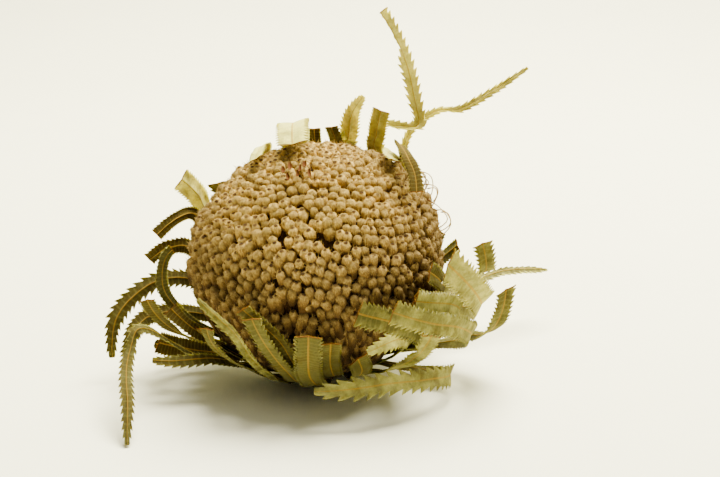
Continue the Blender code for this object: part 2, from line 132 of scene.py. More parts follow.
# %% A helper that makes a piece
def make_piece(name, points, faces, material, uv=None, marks=None, sharp_deg=50.0, replaced=()):
    """An object from points in metres and faces, riding on the root body, in place of the named nodes."""
    mesh = bpy.data.meshes.new(name)
    mesh.from_pydata(np.asarray(points).tolist(), [], [tuple(int(i) for i in face) for face in faces])
    corners = np.empty(len(mesh.loops), int)
    mesh.loops.foreach_get("vertex_index", corners)
    if uv is not None:
        layer = mesh.uv_layers.new(name="along")
        layer.data.foreach_set("uv", np.asarray(uv, float)[corners].ravel())
    if marks is not None:
        stored = mesh.color_attributes.new("marks", "FLOAT_COLOR", "POINT")
        full = np.zeros((len(points), 4))
        full[:, :marks.shape[1]] = marks
        stored.data.foreach_set("color", full.ravel())
    mesh.shade_smooth()
    mesh.set_sharp_from_angle(angle=math.radians(sharp_deg))
    mesh.materials.append(material)
    piece = bpy.data.objects.new(name, mesh)
    bpy.context.collection.objects.link(piece)
    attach(piece, "root")
    if replaced:
        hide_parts(*replaced)
    return piece


def grid_faces(rows, columns, start=0, wrap=False, flip=False):
    """Quads over a grid of points that is stored row by row. wrap closes each row into a ring."""
    found = []
    for row in range(rows - 1):
        for column in range(columns if wrap else columns - 1):
            a = start + row * columns + column
            b = start + row * columns + (column + 1) % columns
            face = (a, b, b + columns, a + columns)
            found.append(face[::-1] if flip else face)
    return found


def tube_faces(rows, sides, start=0):
    """Quads round a tube whose rings are stored one after another, and a flat cap on each end."""
    first_ring = [start + i for i in range(sides)]
    last_ring = [(rows - 1) * sides + i for i in first_ring]
    return grid_faces(rows, sides, start, wrap=True) + [tuple(first_ring[::-1]), tuple(last_ring)]


def sheet_faces(rows, columns, start=0, flip=False):
    """A closed sheet: one grid of points, a second one below it, and quads that join their rims."""
    size = rows * columns
    found = grid_faces(rows, columns, start, flip=flip)
    found += grid_faces(rows, columns, start + size, flip=not flip)
    rim = list(range(columns)) + [row * columns + columns - 1 for row in range(1, rows)]
    rim += [size - 1 - column for column in range(1, columns)]
    rim += [row * columns for row in range(rows - 2, 0, -1)]
    for a, b in zip(rim, rim[1:] + rim[:1]):
        face = (a, b, b + size, a + size) if flip else (a, a + size, b + size, b)
        found.append(tuple(start + i for i in face))
    return found


# %% [markdown]
# Materials here are made of nodes, and the same few steps come up in each: a sum, a blend of two colours, a
# soft step. These helpers write them in one line each, and take a number or another node's output.

# %% Helpers for shader nodes
def feed(tree, socket, value):
    """Links an output to an input socket, or sets the input to a plain number or colour."""
    if isinstance(value, bpy.types.NodeSocket):
        tree.links.new(value, socket)
    else:
        socket.default_value = value


def sum_up(tree, operation, first, second=0.0, third=0.0, clamp=False):
    """One step of arithmetic. Only MULTIPLY_ADD, which is first times second plus third, uses the third."""
    node = tree.nodes.new("ShaderNodeMath")
    node.operation = operation
    node.use_clamp = clamp
    feed(tree, node.inputs[0], first)
    feed(tree, node.inputs[1], second)
    feed(tree, node.inputs[2], third)
    return node.outputs[0]


def blend(tree, share, first, second):
    """A colour between first and second."""
    node = tree.nodes.new("ShaderNodeMix")
    node.data_type = "RGBA"
    feed(tree, node.inputs[0], share)
    feed(tree, node.inputs[6], first)
    feed(tree, node.inputs[7], second)
    return node.outputs[2]


def soft_step(tree, value, low, high, to_low=0.0, to_high=1.0):
    """A value that goes smoothly from to_low to to_high as the input goes from low to high."""
    node = tree.nodes.new("ShaderNodeMapRange")
    node.interpolation_type = "SMOOTHSTEP"
    for index, number in enumerate((value, low, high, to_low, to_high)):
        feed(tree, node.inputs[index], number)
    return node.outputs[0]


def speckle(tree, scale, detail=2.0, roughness=0.6):
    """Noise in the object's own space, from 0 to 1, with features of about 1/scale metres."""
    where = tree.nodes.new("ShaderNodeTexCoord")
    node = tree.nodes.new("ShaderNodeTexNoise")
    feed(tree, node.inputs["Scale"], scale)
    node.inputs["Detail"].default_value = detail
    node.inputs["Roughness"].default_value = roughness
    tree.links.new(where.outputs["Object"], node.inputs["Vector"])
    return node.outputs["Fac"]


def stored_marks(tree):
    """The three channels of the marks attribute."""
    read = tree.nodes.new("ShaderNodeAttribute")
    read.attribute_name = "marks"
    split = tree.nodes.new("ShaderNodeSeparateColor")
    tree.links.new(read.outputs["Color"], split.inputs[0])
    return split.outputs[0], split.outputs[1], split.outputs[2]


def stored_place(tree):
    """The two coordinates of the UV map: across, and along."""
    read = tree.nodes.new("ShaderNodeUVMap")
    read.uv_map = "along"
    split = tree.nodes.new("ShaderNodeSeparateXYZ")
    tree.links.new(read.outputs[0], split.inputs[0])
    return split.outputs[0], split.outputs[1]


def new_group(name, inputs, outputs):
    """An empty node group. inputs and outputs are (name, kind) or (name, kind, start value)."""
    tree = bpy.data.node_groups.new(name, "ShaderNodeTree")
    for label, kind, *start in inputs:
        socket = tree.interface.new_socket(name=label, in_out="INPUT", socket_type="NodeSocket" + kind)
        if start:
            socket.default_value = start[0]
    for label, kind in outputs:
        tree.interface.new_socket(name=label, in_out="OUTPUT", socket_type="NodeSocket" + kind)
    return tree, tree.nodes.new("NodeGroupInput").outputs, tree.nodes.new("NodeGroupOutput").inputs


def place_group(tree, group, **values):
    """Puts a group into a material and sets its inputs. Underscores in a name stand for spaces."""
    node = tree.nodes.new("ShaderNodeGroup")
    node.node_tree = group
    for label, value in values.items():
        feed(tree, node.inputs[label.replace("_", " ")], value)
    return node.outputs


# %% A helper that makes a material
DRY_SHINE = 0.03
FUR_GLINT = (1.0, 0.72, 0.36, 1.0)
GLOW_TINT = (1.0, 0.92, 0.3)
GLOW_DEPTH = 0.6 * MM


def new_surface(name, paint, roughness, bump_mm=0.2, sheen=0.0, subsurface=0.0):
    """A material with one Principled BSDF. paint(tree) gives its colour, or its colour and height."""
    material = bpy.data.materials.new(name)
    material.use_nodes = True
    tree = material.node_tree
    shader = tree.nodes["Principled BSDF"]
    shader.inputs["Metallic"].default_value = 0.0
    shader.inputs["Roughness"].default_value = roughness
    shader.inputs["Specular IOR Level"].default_value = DRY_SHINE
    shader.inputs["Sheen Weight"].default_value = sheen
    shader.inputs["Sheen Tint"].default_value = FUR_GLINT
    shader.inputs["Subsurface Weight"].default_value = subsurface
    shader.inputs["Subsurface Radius"].default_value = GLOW_TINT
    shader.inputs["Subsurface Scale"].default_value = GLOW_DEPTH
    painted = paint(tree)
    colour, height = painted if isinstance(painted, tuple) else (painted, None)
    feed(tree, shader.inputs["Base Color"], colour)
    if height is not None:
        bump = tree.nodes.new("ShaderNodeBump")
        bump.inputs["Strength"].default_value = 1.0
        bump.inputs["Distance"].default_value = bump_mm * MM
        tree.links.new(height, bump.inputs["Height"])
        tree.links.new(bump.outputs[0], shader.inputs["Normal"])
    return material


# %% [markdown]
# Dry plant matter is never one even colour. Leaves, stalks and stem share the same uneven ageing: broad
# stains, and a fine mottle over them. It is one group, so that each material can set its own strength.

# %% Ageing, shared by leaves, stalks and stem
MOTTLE_SCALE = 1600.0


def make_ageing():
    tree, given, out = new_group("Dry ageing", (
        ("Colour", "Color"), ("Stain", "Color"), ("Amount", "Float", 0.5), ("Stain scale", "Float", 120.0)),
        (("Colour", "Color"), ("Height", "Float")))
    stains = soft_step(tree, speckle(tree, given["Stain scale"], detail=4.0), 0.44, 0.72)
    mottle = speckle(tree, MOTTLE_SCALE, detail=3.0)
    share = sum_up(tree, "MULTIPLY", stains, given["Amount"], clamp=True)
    stained = blend(tree, share, given["Colour"], given["Stain"])
    dapple = soft_step(tree, mottle, 0.3, 0.7, 0.86, 1.1)
    shaded = tree.nodes.new("ShaderNodeVectorMath")
    shaded.operation = "SCALE"
    tree.links.new(stained, shaded.inputs[0])
    tree.links.new(dapple, shaded.inputs["Scale"])
    tree.links.new(shaded.outputs[0], out["Colour"])
    tree.links.new(mottle, out["Height"])
    return tree


AGEING = make_ageing()
print("groups:", [group.name for group in bpy.data.node_groups])

# %% [markdown]
# ## The head of buds
#
# Each bud is a closed flower: a furry capsule some 7 mm long with a bare brown tip, where the style will
# break out. In front the buds lie almost flat on the head and point up to its apex, like shingles. On the
# crown they stand on end and only their round tips show. Sculpting them all by hand is out of the question,
# and scattering them at random would lose the rows that the eye goes to first, so they are placed as the
# plant does it, one golden angle after another, from the stem up. The rows come out by themselves.

# %% Where the buds sit
LOWEST_BUD_CLIMB = 36.0
APEX_CLIMB = 180.0
CLIMB_STEPS = 2000
# Square mm of the head for each bud, and how many times closer together they stand at each climb.
BUD_AREA = 9.5
CROWDING = ((0.0, 1.0), (95.0, 1.0), (125.0, 1.12), (150.0, 1.3), (180.0, 1.35))
# Each hole is a bearing, a climb and a reach, in degrees.
MISSING_BUDS = (
    (-13.0, 141.0, 1.9), (14.0, 140.0, 2.9), (58.0, 158.0, 2.2), (-8.0, 113.0, 3.4), (-8.0, 104.0, 3.3))
ASTRAY_DEG = 0.65
GOLDEN_ANGLE = math.pi * (3.0 - math.sqrt(5.0))
BUD_SEED = 1897
CHANCE = np.random.default_rng(BUD_SEED)


def bud_places():
    """Bearings and climbs in degrees, in order from the stem to the apex."""
    climb = np.linspace(LOWEST_BUD_CLIMB, APEX_CLIMB, CLIMB_STEPS)
    radius = HEAD_RADIUS + swell(climb)
    crowding = np.interp(climb, *np.array(CROWDING).T)
    band = 2.0 * math.pi * radius ** 2 * np.sin(np.radians(climb)) * math.radians(climb[1] - climb[0])
    total = np.cumsum(band * crowding) / BUD_AREA
    count = int(total[-1])
    index = np.arange(count)
    bud_climb = np.interp(index + 0.5, total, climb) + CHANCE.normal(0.0, ASTRAY_DEG, count)
    astray = CHANCE.normal(0.0, ASTRAY_DEG, count) / np.maximum(np.sin(np.radians(bud_climb)), 0.1)
    return np.degrees(index * GOLDEN_ANGLE) % 360.0 + astray, bud_climb


def is_missing(bearing, climb):
    """True for the buds nearest to the holes in the photographed head."""
    place = outward(bearing, climb)
    gone = np.zeros(len(bearing), bool)
    for hole_bearing, hole_climb, reach_deg in MISSING_BUDS:
        gone |= place @ outward(hole_bearing, hole_climb) > math.cos(math.radians(reach_deg))
    return gone


bud_bearing, bud_climb = bud_places()
kept = ~is_missing(bud_bearing, bud_climb)
bud_bearing, bud_climb = bud_bearing[kept], bud_climb[kept]
print("buds:", len(bud_climb), "fallen:", int((~kept).sum()))

# %% [markdown]
# The fur can't be real hair here, because hair isn't kept when the part is exported. Short solid tufts stand
# for the longest hairs, in the next step. The rest is painted: fine streaks along each bud, a felt bump, and
# a sheen that lightens the edges as fur does. Each bud is dark at its root, partly its own colour and partly
# painted shade down between the buds, tan along its side, paler near the end, and brown in a dot at the tip.
# Buds on the crown are paler than those low down, partly their own colour and partly painted light on the
# crown and painted shade low on the head.

# %% The bud material
STREAKS_ACROSS = 9.0
STREAKS_ALONG = 2.2
FELT_SCALE = 1250.0


def make_fur():
    tree, given, out = new_group("Bud fur", (
        ("Root", "Color"), ("Side", "Color"), ("End", "Color"), ("Dot", "Color")),
        (("Colour", "Color"), ("Height", "Float")))
    tone, _, along = stored_marks(tree)
    across, run = stored_place(tree)
    lay = tree.nodes.new("ShaderNodeCombineXYZ")
    feed(tree, lay.inputs[0], sum_up(tree, "MULTIPLY", across, STREAKS_ACROSS))
    feed(tree, lay.inputs[1], sum_up(tree, "MULTIPLY", run, STREAKS_ALONG))
    hairs = tree.nodes.new("ShaderNodeTexNoise")
    hairs.inputs["Scale"].default_value = 2.0
    hairs.inputs["Detail"].default_value = 3.0
    tree.links.new(lay.outputs[0], hairs.inputs["Vector"])
    ragged = sum_up(tree, "ADD", along, soft_step(tree, hairs.outputs["Fac"], 0.2, 0.8, -0.14, 0.14))
    # Dark roots: partly the hairs' own colour, partly painted shade down between the buds.
    body = blend(tree, soft_step(tree, ragged, 0.4, 0.74), given["Root"], given["Side"])
    ended = blend(tree, soft_step(tree, ragged, 0.7, 0.95), body, given["End"])
    hair_tone = soft_step(tree, hairs.outputs["Fac"], 0.3, 0.7, 0.72, 1.3)
    bud_tone = soft_step(tree, tone, 0.0, 1.0, 0.66, 1.16)
    shaded = tree.nodes.new("ShaderNodeVectorMath")
    shaded.operation = "SCALE"
    tree.links.new(ended, shaded.inputs[0])
    tree.links.new(sum_up(tree, "MULTIPLY", hair_tone, bud_tone), shaded.inputs["Scale"])
    spot = sum_up(tree, "MULTIPLY", soft_step(tree, along, 0.958, 0.988), soft_step(tree, tone, 0.2, 0.7))
    dotted = blend(tree, spot, shaded.outputs[0], given["Dot"])
    felt = speckle(tree, FELT_SCALE, detail=4.0)
    hollows = soft_step(tree, felt, 0.42, 0.6, 0.0, 0.85)
    tree.links.new(blend(tree, hollows, dotted, blend(tree, 0.5, dotted, given["Root"])), out["Colour"])
    tree.links.new(sum_up(tree, "ADD", felt, hairs.outputs["Fac"]), out["Height"])
    return tree


FUR = make_fur()


def bud_colour(tree):
    """Each blend goes from the colour low on the head to the one on the crown: partly the buds' own colour,
    partly painted shade low down and painted light on the crown.
    """
    _, rise, _ = stored_marks(tree)
    # The root colour is dark partly as painted shade between the buds.
    root = blend(tree, rise, (0.032, 0.014, 0.003, 1.0), (0.18, 0.088, 0.018, 1.0))
    side = blend(tree, rise, (0.155, 0.085, 0.025, 1.0), (0.43, 0.26, 0.052, 1.0))
    end = blend(tree, rise, (0.33, 0.215, 0.076, 1.0), (0.7, 0.475, 0.11, 1.0))
    made = place_group(
        tree, FUR, Root=root, Side=side, End=end, Dot=(0.055, 0.026, 0.006, 1.0))
    return made["Colour"], made["Height"]


BUD_SURFACE = new_surface("bud_fur", bud_colour, 0.92, bump_mm=0.6, sheen=0.1)
print("bud material nodes:", len(BUD_SURFACE.node_tree.nodes))

# %% [markdown]
# One bud is a stack of rings. All buds of a stretch are worked out at once as arrays: where each one ends,
# which way it points, how wide and how pale it is, with a little chance in each so that no two neighbours
# match. Slow waves over the head sink and darken some of them in patches, as on the real one.

# %% Where each bud points, and its size and tone
# The first number in each pair is a climb in degrees. Widths are in mm, leans in degrees.
BUD_WIDTHS = ((95.0, 2.6), (140.0, 3.25))
BUD_LEANS = ((30.0, 14.0), (100.0, 21.0), (135.0, 52.0), (180.0, 90.0))
# Paleness by climb: partly the buds' own colour, partly painted shade low on the head and painted light on
# the crown.
CROWN_LIGHT_AND_PALENESS = ((60.0, 0.0), (100.0, 0.18), (122.0, 0.36), (145.0, 1.0))
# Buds low on the head, by the leaves, are dimmed: painted shade.
LOW_SHADE_DIMMING = ((58.0, 0.7), (84.0, 0.0))
PATCH_DIMMING = 0.35
BUD_PROUD = 0.35
SINKS = 0.6
UNEVEN_MM = 0.32
UNEVEN_WIDTH = 0.08
UNEVEN_LEAN = 0.11
UNEVEN_ASIDE = 0.12


class Buds(NamedTuple):
    """A stretch of buds: arrays with a row or a number for each bud. Places and half widths are in metres."""

    tip: np.ndarray
    direction: np.ndarray
    out: np.ndarray
    first: np.ndarray
    second: np.ndarray
    half: np.ndarray
    tone: np.ndarray
    rise: np.ndarray


def at_climb(climb, table):
    """The table's value at these climbs."""
    return np.interp(climb, *np.array(table).T)


def bud_directions(bearing, climb):
    """Which way each bud points: flat along the head in front, and more and more on end to the crown."""
    out = outward(bearing, climb)
    up = AXIS - out * (out @ AXIS)[:, None]
    up /= np.maximum(np.linalg.norm(up, axis=1), 1e-6)[:, None]
    lean = np.radians(at_climb(climb, BUD_LEANS))
    lean += CHANCE.normal(0.0, UNEVEN_LEAN, len(climb))
    sideways = np.cross(out, up) * CHANCE.normal(0.0, UNEVEN_ASIDE, len(climb))[:, None]
    return unit(up * np.cos(lean)[:, None] + out * np.sin(lean)[:, None] + sideways)


def patchiness(bearing, climb):
    """Slow waves over the head, from -1 to 1. Where they are high, buds are sunk and dark."""
    return np.sin(np.radians(3.0 * bearing + 2.0 * climb)) * np.sin(np.radians(6.0 * climb - 2.0 * bearing))


def set_out_buds(bearing, climb):
    """Draws each bud's place, direction, width and tone."""
    direction = bud_directions(bearing, climb)
    out = outward(bearing, climb)
    patch = patchiness(bearing, climb)
    sunk = SINKS * np.clip(patch, 0.0, 1.0)
    uneven = CHANCE.normal(0.0, UNEVEN_MM, len(climb))
    tip = around(bearing, climb, HEAD_RADIUS + BUD_PROUD - sunk + uneven)
    first = unit(np.cross(direction, out + 0.3 * RIGHT))
    second = np.cross(direction, first)
    half = at_climb(climb, BUD_WIDTHS) / 2.0 * MM
    half *= CHANCE.normal(1.0, UNEVEN_WIDTH, len(climb))
    dim = PATCH_DIMMING * patch + at_climb(climb, LOW_SHADE_DIMMING)
    tone = np.clip(CHANCE.uniform(0.0, 1.0, len(climb)) - dim, 0.0, 1.0)
    return Buds(tip, direction, out, first, second, half, tone, at_climb(climb, CROWN_LIGHT_AND_PALENESS))


# %% A bud's rings
# Share of the way along the bud, and share of its width there.
BUD_RINGS = ((0.0, 0.8), (0.25, 0.94), (0.5, 1.0), (0.76, 0.98), (0.89, 0.84), (0.96, 0.56), (0.99, 0.26))
BUD_SIDES = 9
BUD_LENGTH = 7.0
BUD_BEND = 0.5
LUMPINESS = 0.11
# How far apart two buds of the palest and the darkest tone start in the streaks, across and along.
STREAK_JUMPS = (40.0, 9.0)


def bud_place(buds, along, aside=0.0):
    """UV rows. Each bud starts at a place of its own in the streaks, so that they differ."""
    return np.column_stack((buds.tone * STREAK_JUMPS[0] + aside, buds.tone * STREAK_JUMPS[1] + along))


def bud_marks(buds, along):
    """Marks rows: the bud's tone, how pale its height makes it (partly painted light on the crown and painted
    shade low down), and how far along it the point lies.
    """
    return np.column_stack((buds.tone, buds.rise, np.broadcast_to(along, buds.tone.shape)))


def bud_rings(buds):
    """Points, UVs and marks of the rings, and of the tip that closes the last of them."""
    points, uv, marks = [], [], []
    for along, thick in BUD_RINGS:
        middle = buds.tip - buds.direction * ((1.0 - along) * BUD_LENGTH * MM)
        middle = middle - buds.out * (BUD_BEND * (0.5 - along) ** 2 * MM)
        for angle in np.arange(BUD_SIDES) * 2.0 * math.pi / BUD_SIDES:
            arm = buds.first * math.cos(angle) + buds.second * math.sin(angle)
            lumpy = buds.half * thick * CHANCE.normal(1.0, LUMPINESS, len(buds.tone))
            points.append(middle + arm * lumpy[:, None])
            uv.append(bud_place(buds, along, math.sin(angle / 2.0) * 2.0))
            marks.append(bud_marks(buds, along))
    points.append(buds.tip)
    uv.append(bud_place(buds, 1.0))
    marks.append(bud_marks(buds, 1.0))
    return points, uv, marks


# %% A bud's tufts
TUFTS = 18
TUFT_HALF = 0.11
TUFT_LENGTHS = (0.6, 1.5)
TUFT_PLACES = (0.45, 0.985)
TUFT_SUNK = 0.93
TUFT_STANDS = 0.7
TUFT_STRAYS = 0.3
TUFT_PALER = 0.08
TUFT_PALEST = 0.92


def bud_tufts(buds):
    """Points, UVs and marks of the tufts: slim spikes with three sides, at random places on each bud."""
    points, uv, marks = [], [], []
    count = len(buds.tone)
    for _ in range(TUFTS):
        along = CHANCE.uniform(*TUFT_PLACES, count)
        angle = CHANCE.uniform(0.0, 2.0 * math.pi, count)
        arm = buds.first * np.cos(angle)[:, None] + buds.second * np.sin(angle)[:, None]
        reach = buds.half * np.interp(along, *np.array(BUD_RINGS).T) * TUFT_SUNK
        foot = buds.tip - buds.direction * ((1.0 - along) * BUD_LENGTH * MM)[:, None] + arm * reach[:, None]
        lie = unit(arm * TUFT_STANDS + buds.direction + CHANCE.normal(0.0, TUFT_STRAYS, arm.shape))
        beside = unit(np.cross(lie, arm))
        for corner in range(3):
            turn = corner * 2.0 * math.pi / 3.0
            step = beside * math.cos(turn) + np.cross(lie, beside) * math.sin(turn)
            points.append(foot + step * TUFT_HALF * MM)
        points.append(foot + lie * (CHANCE.uniform(*TUFT_LENGTHS, count) * MM)[:, None])
        uv += [bud_place(buds, along)] * 4
        marks += [bud_marks(buds, np.clip(along + TUFT_PALER, 0.0, TUFT_PALEST))] * 4
    return points, uv, marks


# %% The buds themselves
SHOULDER_CLIMB = 92.0
CROWN_CLIMB = 128.0
BUD_SHARP_DEG = 80.0


def bud_pattern():
    """The faces of one bud and its tufts."""
    pattern = grid_faces(len(BUD_RINGS), BUD_SIDES, wrap=True)
    last = (len(BUD_RINGS) - 1) * BUD_SIDES
    tip = last + BUD_SIDES
    pattern += [(last + i, last + (i + 1) % BUD_SIDES, tip) for i in range(BUD_SIDES)]
    for tuft in range(TUFTS):
        a = tip + 1 + 4 * tuft
        pattern += [(a, a + 1, a + 3), (a + 1, a + 2, a + 3), (a + 2, a, a + 3)]
    return pattern


def grow_buds(name, bearing, climb, replaced=()):
    """One piece with all the buds between two climbs."""
    buds = set_out_buds(bearing, climb)
    columns = [rings + tufts for rings, tufts in zip(bud_rings(buds), bud_tufts(buds))]
    points, uv, marks = (np.stack(rows, axis=1).reshape(-1, rows[0].shape[1]) for rows in columns)
    size = len(columns[0])
    pattern = bud_pattern()
    faces = [tuple(size * bud + i for i in face) for bud in range(len(climb)) for face in pattern]
    return make_piece(
        name, points, faces, BUD_SURFACE, uv, marks, BUD_SHARP_DEG, replaced)


SHOULDER = bud_climb.searchsorted(SHOULDER_CLIMB)
CROWN = bud_climb.searchsorted(CROWN_CLIMB)
lower_buds = grow_buds("lower_buds", bud_bearing[:SHOULDER], bud_climb[:SHOULDER], ("flower_head",))
shoulder_buds = grow_buds("shoulder_buds", bud_bearing[SHOULDER:CROWN], bud_climb[SHOULDER:CROWN])
crown_buds = grow_buds("crown_buds", bud_bearing[CROWN:], bud_climb[CROWN:])
print("bud faces:", [len(piece.data.polygons) for piece in (lower_buds, shoulder_buds, crown_buds)])

# %% [markdown]
# On the right, towards the back, a few wiry styles have already broken out and arch over the buds, pale with
# a reddish tip. At the apex some red-brown scraps of bract are caught between the buds. Both are too fine for
# the solids. A style is a thin tube on a curve, and a scrap is a small curled sheet.

# %% Styles
STYLES = 13
STYLE_SIDES = 5
STYLE_ROWS = 12
STYLE_SEED = 77
STYLE_BEARINGS = (84.0, 132.0)
STYLE_CLIMBS = (88.0, 124.0)
# Share of the way along, and radius in mm: a fine wire with a swollen end.
STYLE_RADII = ((0.0, 0.2), (0.8, 0.16), (0.93, 0.27), (1.0, 0.06))


def wire_colour(tree):
    share, _, _ = stored_marks(tree)
    return blend(
        tree, soft_step(tree, share, 0.72, 0.95), (0.42, 0.27, 0.09, 1.0), (0.085, 0.03, 0.006, 1.0))


WIRE_SURFACE = new_surface("style_and_bract", wire_colour, 0.8)


def style_route(draw):
    """(bearing, climb, reach) from one bud, up in an arch, to a little above another."""
    bearing = draw.uniform(*STYLE_BEARINGS)
    climb = draw.uniform(*STYLE_CLIMBS)
    return (
        (bearing, climb, 37.0),
        (bearing + draw.uniform(-2.0, 3.0), climb + 4.0, draw.uniform(40.5, 42.0)),
        (bearing + draw.uniform(-3.0, 5.0), climb + 9.0, draw.uniform(40.6, 42.4)),
        (bearing + draw.uniform(-4.0, 6.0), climb + draw.uniform(13.0, 17.0), draw.uniform(38.6, 40.4)))


def make_styles():
    draw = random.Random(STYLE_SEED)
    points, faces = [], []
    share = np.linspace(0.0, 1.0, STYLE_ROWS)
    radius = np.interp(share, *np.array(STYLE_RADII).T) * MM
    for index in range(STYLES):
        rows = through(style_route(draw))
        middle = around(*(np.interp(share, np.linspace(0.0, 1.0, len(rows)), rows[:, i]) for i in range(3)))
        forward = unit(np.gradient(middle, axis=0))
        first = unit(np.cross(forward, middle - HEAD_CENTRE))
        second = np.cross(forward, first)
        turns = np.arange(STYLE_SIDES) * 2.0 * math.pi / STYLE_SIDES
        arms = [first * math.cos(turn) + second * math.sin(turn) for turn in turns]
        sides = [middle + arm * radius[:, None] for arm in arms]
        points.append(np.stack(sides, axis=1).reshape(-1, 3))
        faces += tube_faces(STYLE_ROWS, STYLE_SIDES, start=index * STYLE_ROWS * STYLE_SIDES)
    tones = np.repeat(np.tile(share, STYLES), STYLE_SIDES)
    painted = np.column_stack((tones, np.zeros(len(tones)), np.zeros(len(tones))))
    return make_piece(
        "broken_out_styles", np.concatenate(points), faces, WIRE_SURFACE, marks=painted)


styles = make_styles()
print("style faces:", len(styles.data.polygons))

# %% Scraps of bract
# The bearing and climb of each scrap, then its places along and across as shares of half its size.
SCRAPS = (
    (-66.0, 172.0), (-72.0, 175.5), (-6.0, 172.5), (62.0, 177.5), (2.0, 176.0), (30.0, 171.0),
    (-30.0, 170.0))
SCRAP_ALONG = (-1.0, -0.33, 0.33, 1.0)
SCRAP_ACROSS = (-1.0, 0.0, 1.0)
SCRAP_SEED = 12
SCRAP_LENGTHS = (2.2, 3.6)
SCRAP_WIDTHS = (0.8, 1.3)
SCRAP_PROUD = 1.1
SCRAP_THICK = 0.14
# How far the ends and the long sides curl up in mm, how uneven they are, and how much narrower the ends get.
END_CURL = 0.55
SIDE_CURL = 0.3
SCRAP_UNEVEN = 0.05
END_NARROWS = 0.45


def make_scraps():
    """Small curled scraps. Each is turned any way about, narrow at its ends, and curled up at its rims."""
    draw = random.Random(SCRAP_SEED)
    points, faces = [], []
    for bearing, climb in SCRAPS:
        turn = draw.uniform(0.0, 360.0)
        long = draw.uniform(*SCRAP_LENGTHS)
        wide = draw.uniform(*SCRAP_WIDTHS)
        middle = around(bearing, climb, HEAD_RADIUS + SCRAP_PROUD)
        out = outward(bearing, climb)
        first = unit(np.cross(out, RIGHT * math.cos(turn) + AXIS * math.sin(turn)))
        second = np.cross(out, first)
        faces += sheet_faces(len(SCRAP_ALONG), len(SCRAP_ACROSS), start=len(points), flip=True)
        for lift in (0.0, SCRAP_THICK):
            for a in SCRAP_ALONG:
                for b in SCRAP_ACROSS:
                    narrow = wide * (1.0 - END_NARROWS * a * a) / 2.0
                    uneven = draw.uniform(-SCRAP_UNEVEN, SCRAP_UNEVEN)
                    rise = END_CURL * a * a + SIDE_CURL * b * b + lift + uneven
                    points.append(middle + (first * a * long / 2.0 + second * b * narrow + out * rise) * MM)
    painted = np.tile((1.0, 0.0, 0.0), (len(points), 1))
    return make_piece("bract_scraps", points, faces, WIRE_SURFACE, marks=painted)


scraps = make_scraps()
print("scrap faces:", len(scraps.data.polygons))

# %% [markdown]
# Between the buds one looks down into a dark woody core, furred with the hairs at the buds' roots. Its
# near-black colour is partly the core's own and partly painted shade down in the gaps. It is a turned form on
# the same profile, a little under the surface, with dents so that the holes look deep.

# %% The woody core
CORE_DEPTH = 2.6
CORE_ROWS = 90
CORE_COLUMNS = 140
DENT_DEPTH = 0.35
DENTS_ROUND = 34.0
DENTS_UP = 1.9


def core_colour_and_shade(tree):
    # Nearly black: partly the core's own colour, partly painted shade in the gaps between buds.
    fleck = soft_step(tree, speckle(tree, 1400.0, detail=3.0), 0.35, 0.7)
    return blend(tree, fleck, (0.012, 0.005, 0.0015, 1.0), (0.05, 0.02, 0.004, 1.0)), speckle(tree, 2600.0)


CORE_SURFACE = new_surface("core_fur_and_shade", core_colour_and_shade, 0.95, bump_mm=0.3, sheen=0.2)


def make_core():
    climb = np.linspace(0.5, 179.5, CORE_ROWS)
    bearing = np.arange(CORE_COLUMNS) * 360.0 / CORE_COLUMNS
    climbs, bearings = np.meshgrid(climb, bearing, indexing="ij")
    dents = DENT_DEPTH * np.sin(np.radians(bearings * DENTS_ROUND) + climbs) * np.sin(climbs * DENTS_UP)
    points = around(bearings, climbs, HEAD_RADIUS - CORE_DEPTH + dents).reshape(-1, 3)
    return make_piece(
        "woody_core", points, tube_faces(CORE_ROWS, CORE_COLUMNS), CORE_SURFACE)


woody_core = make_core()
print("core faces:", len(woody_core.data.polygons))

# %% [markdown]
# ## The leaves
#
# Each leaf is a stiff blade with a thin midrib and a saw edge. Close to its base the teeth are as fine as a
# comb, 1 mm apart, and towards a natural tip they grow to lobes of 3 mm. Most were trimmed with scissors, so
# they end in a straight or slanted brown cut. The blade is one closed sheet, 0.3 mm thick: a grid whose
# outermost column steps in and out with the teeth, while the others stop just inside the notches. That keeps
# the outline sharp from every side, which a picture of teeth on a plain strip would not. The table repeats
# the source's midribs and adds the looks of each leaf.

# %% The leaf table
INNER = 39.3
OUTER = 41.0
FOLD_DEG = 11.0


class Leaf(NamedTuple):
    """One leaf: width in mm, how it ends, its tone from dark brown 0 to pale 1, the pitch of its last teeth
    in mm, and its midrib of (bearing, climb, reach, roll). The tone is partly the leaf's own colour, partly
    painted shade on leaves that lie in shade and a painted glow on the palest."""

    name: str
    width: float
    end: str
    tone: float
    tooth: float
    midrib: tuple
    fold: float = FOLD_DEG


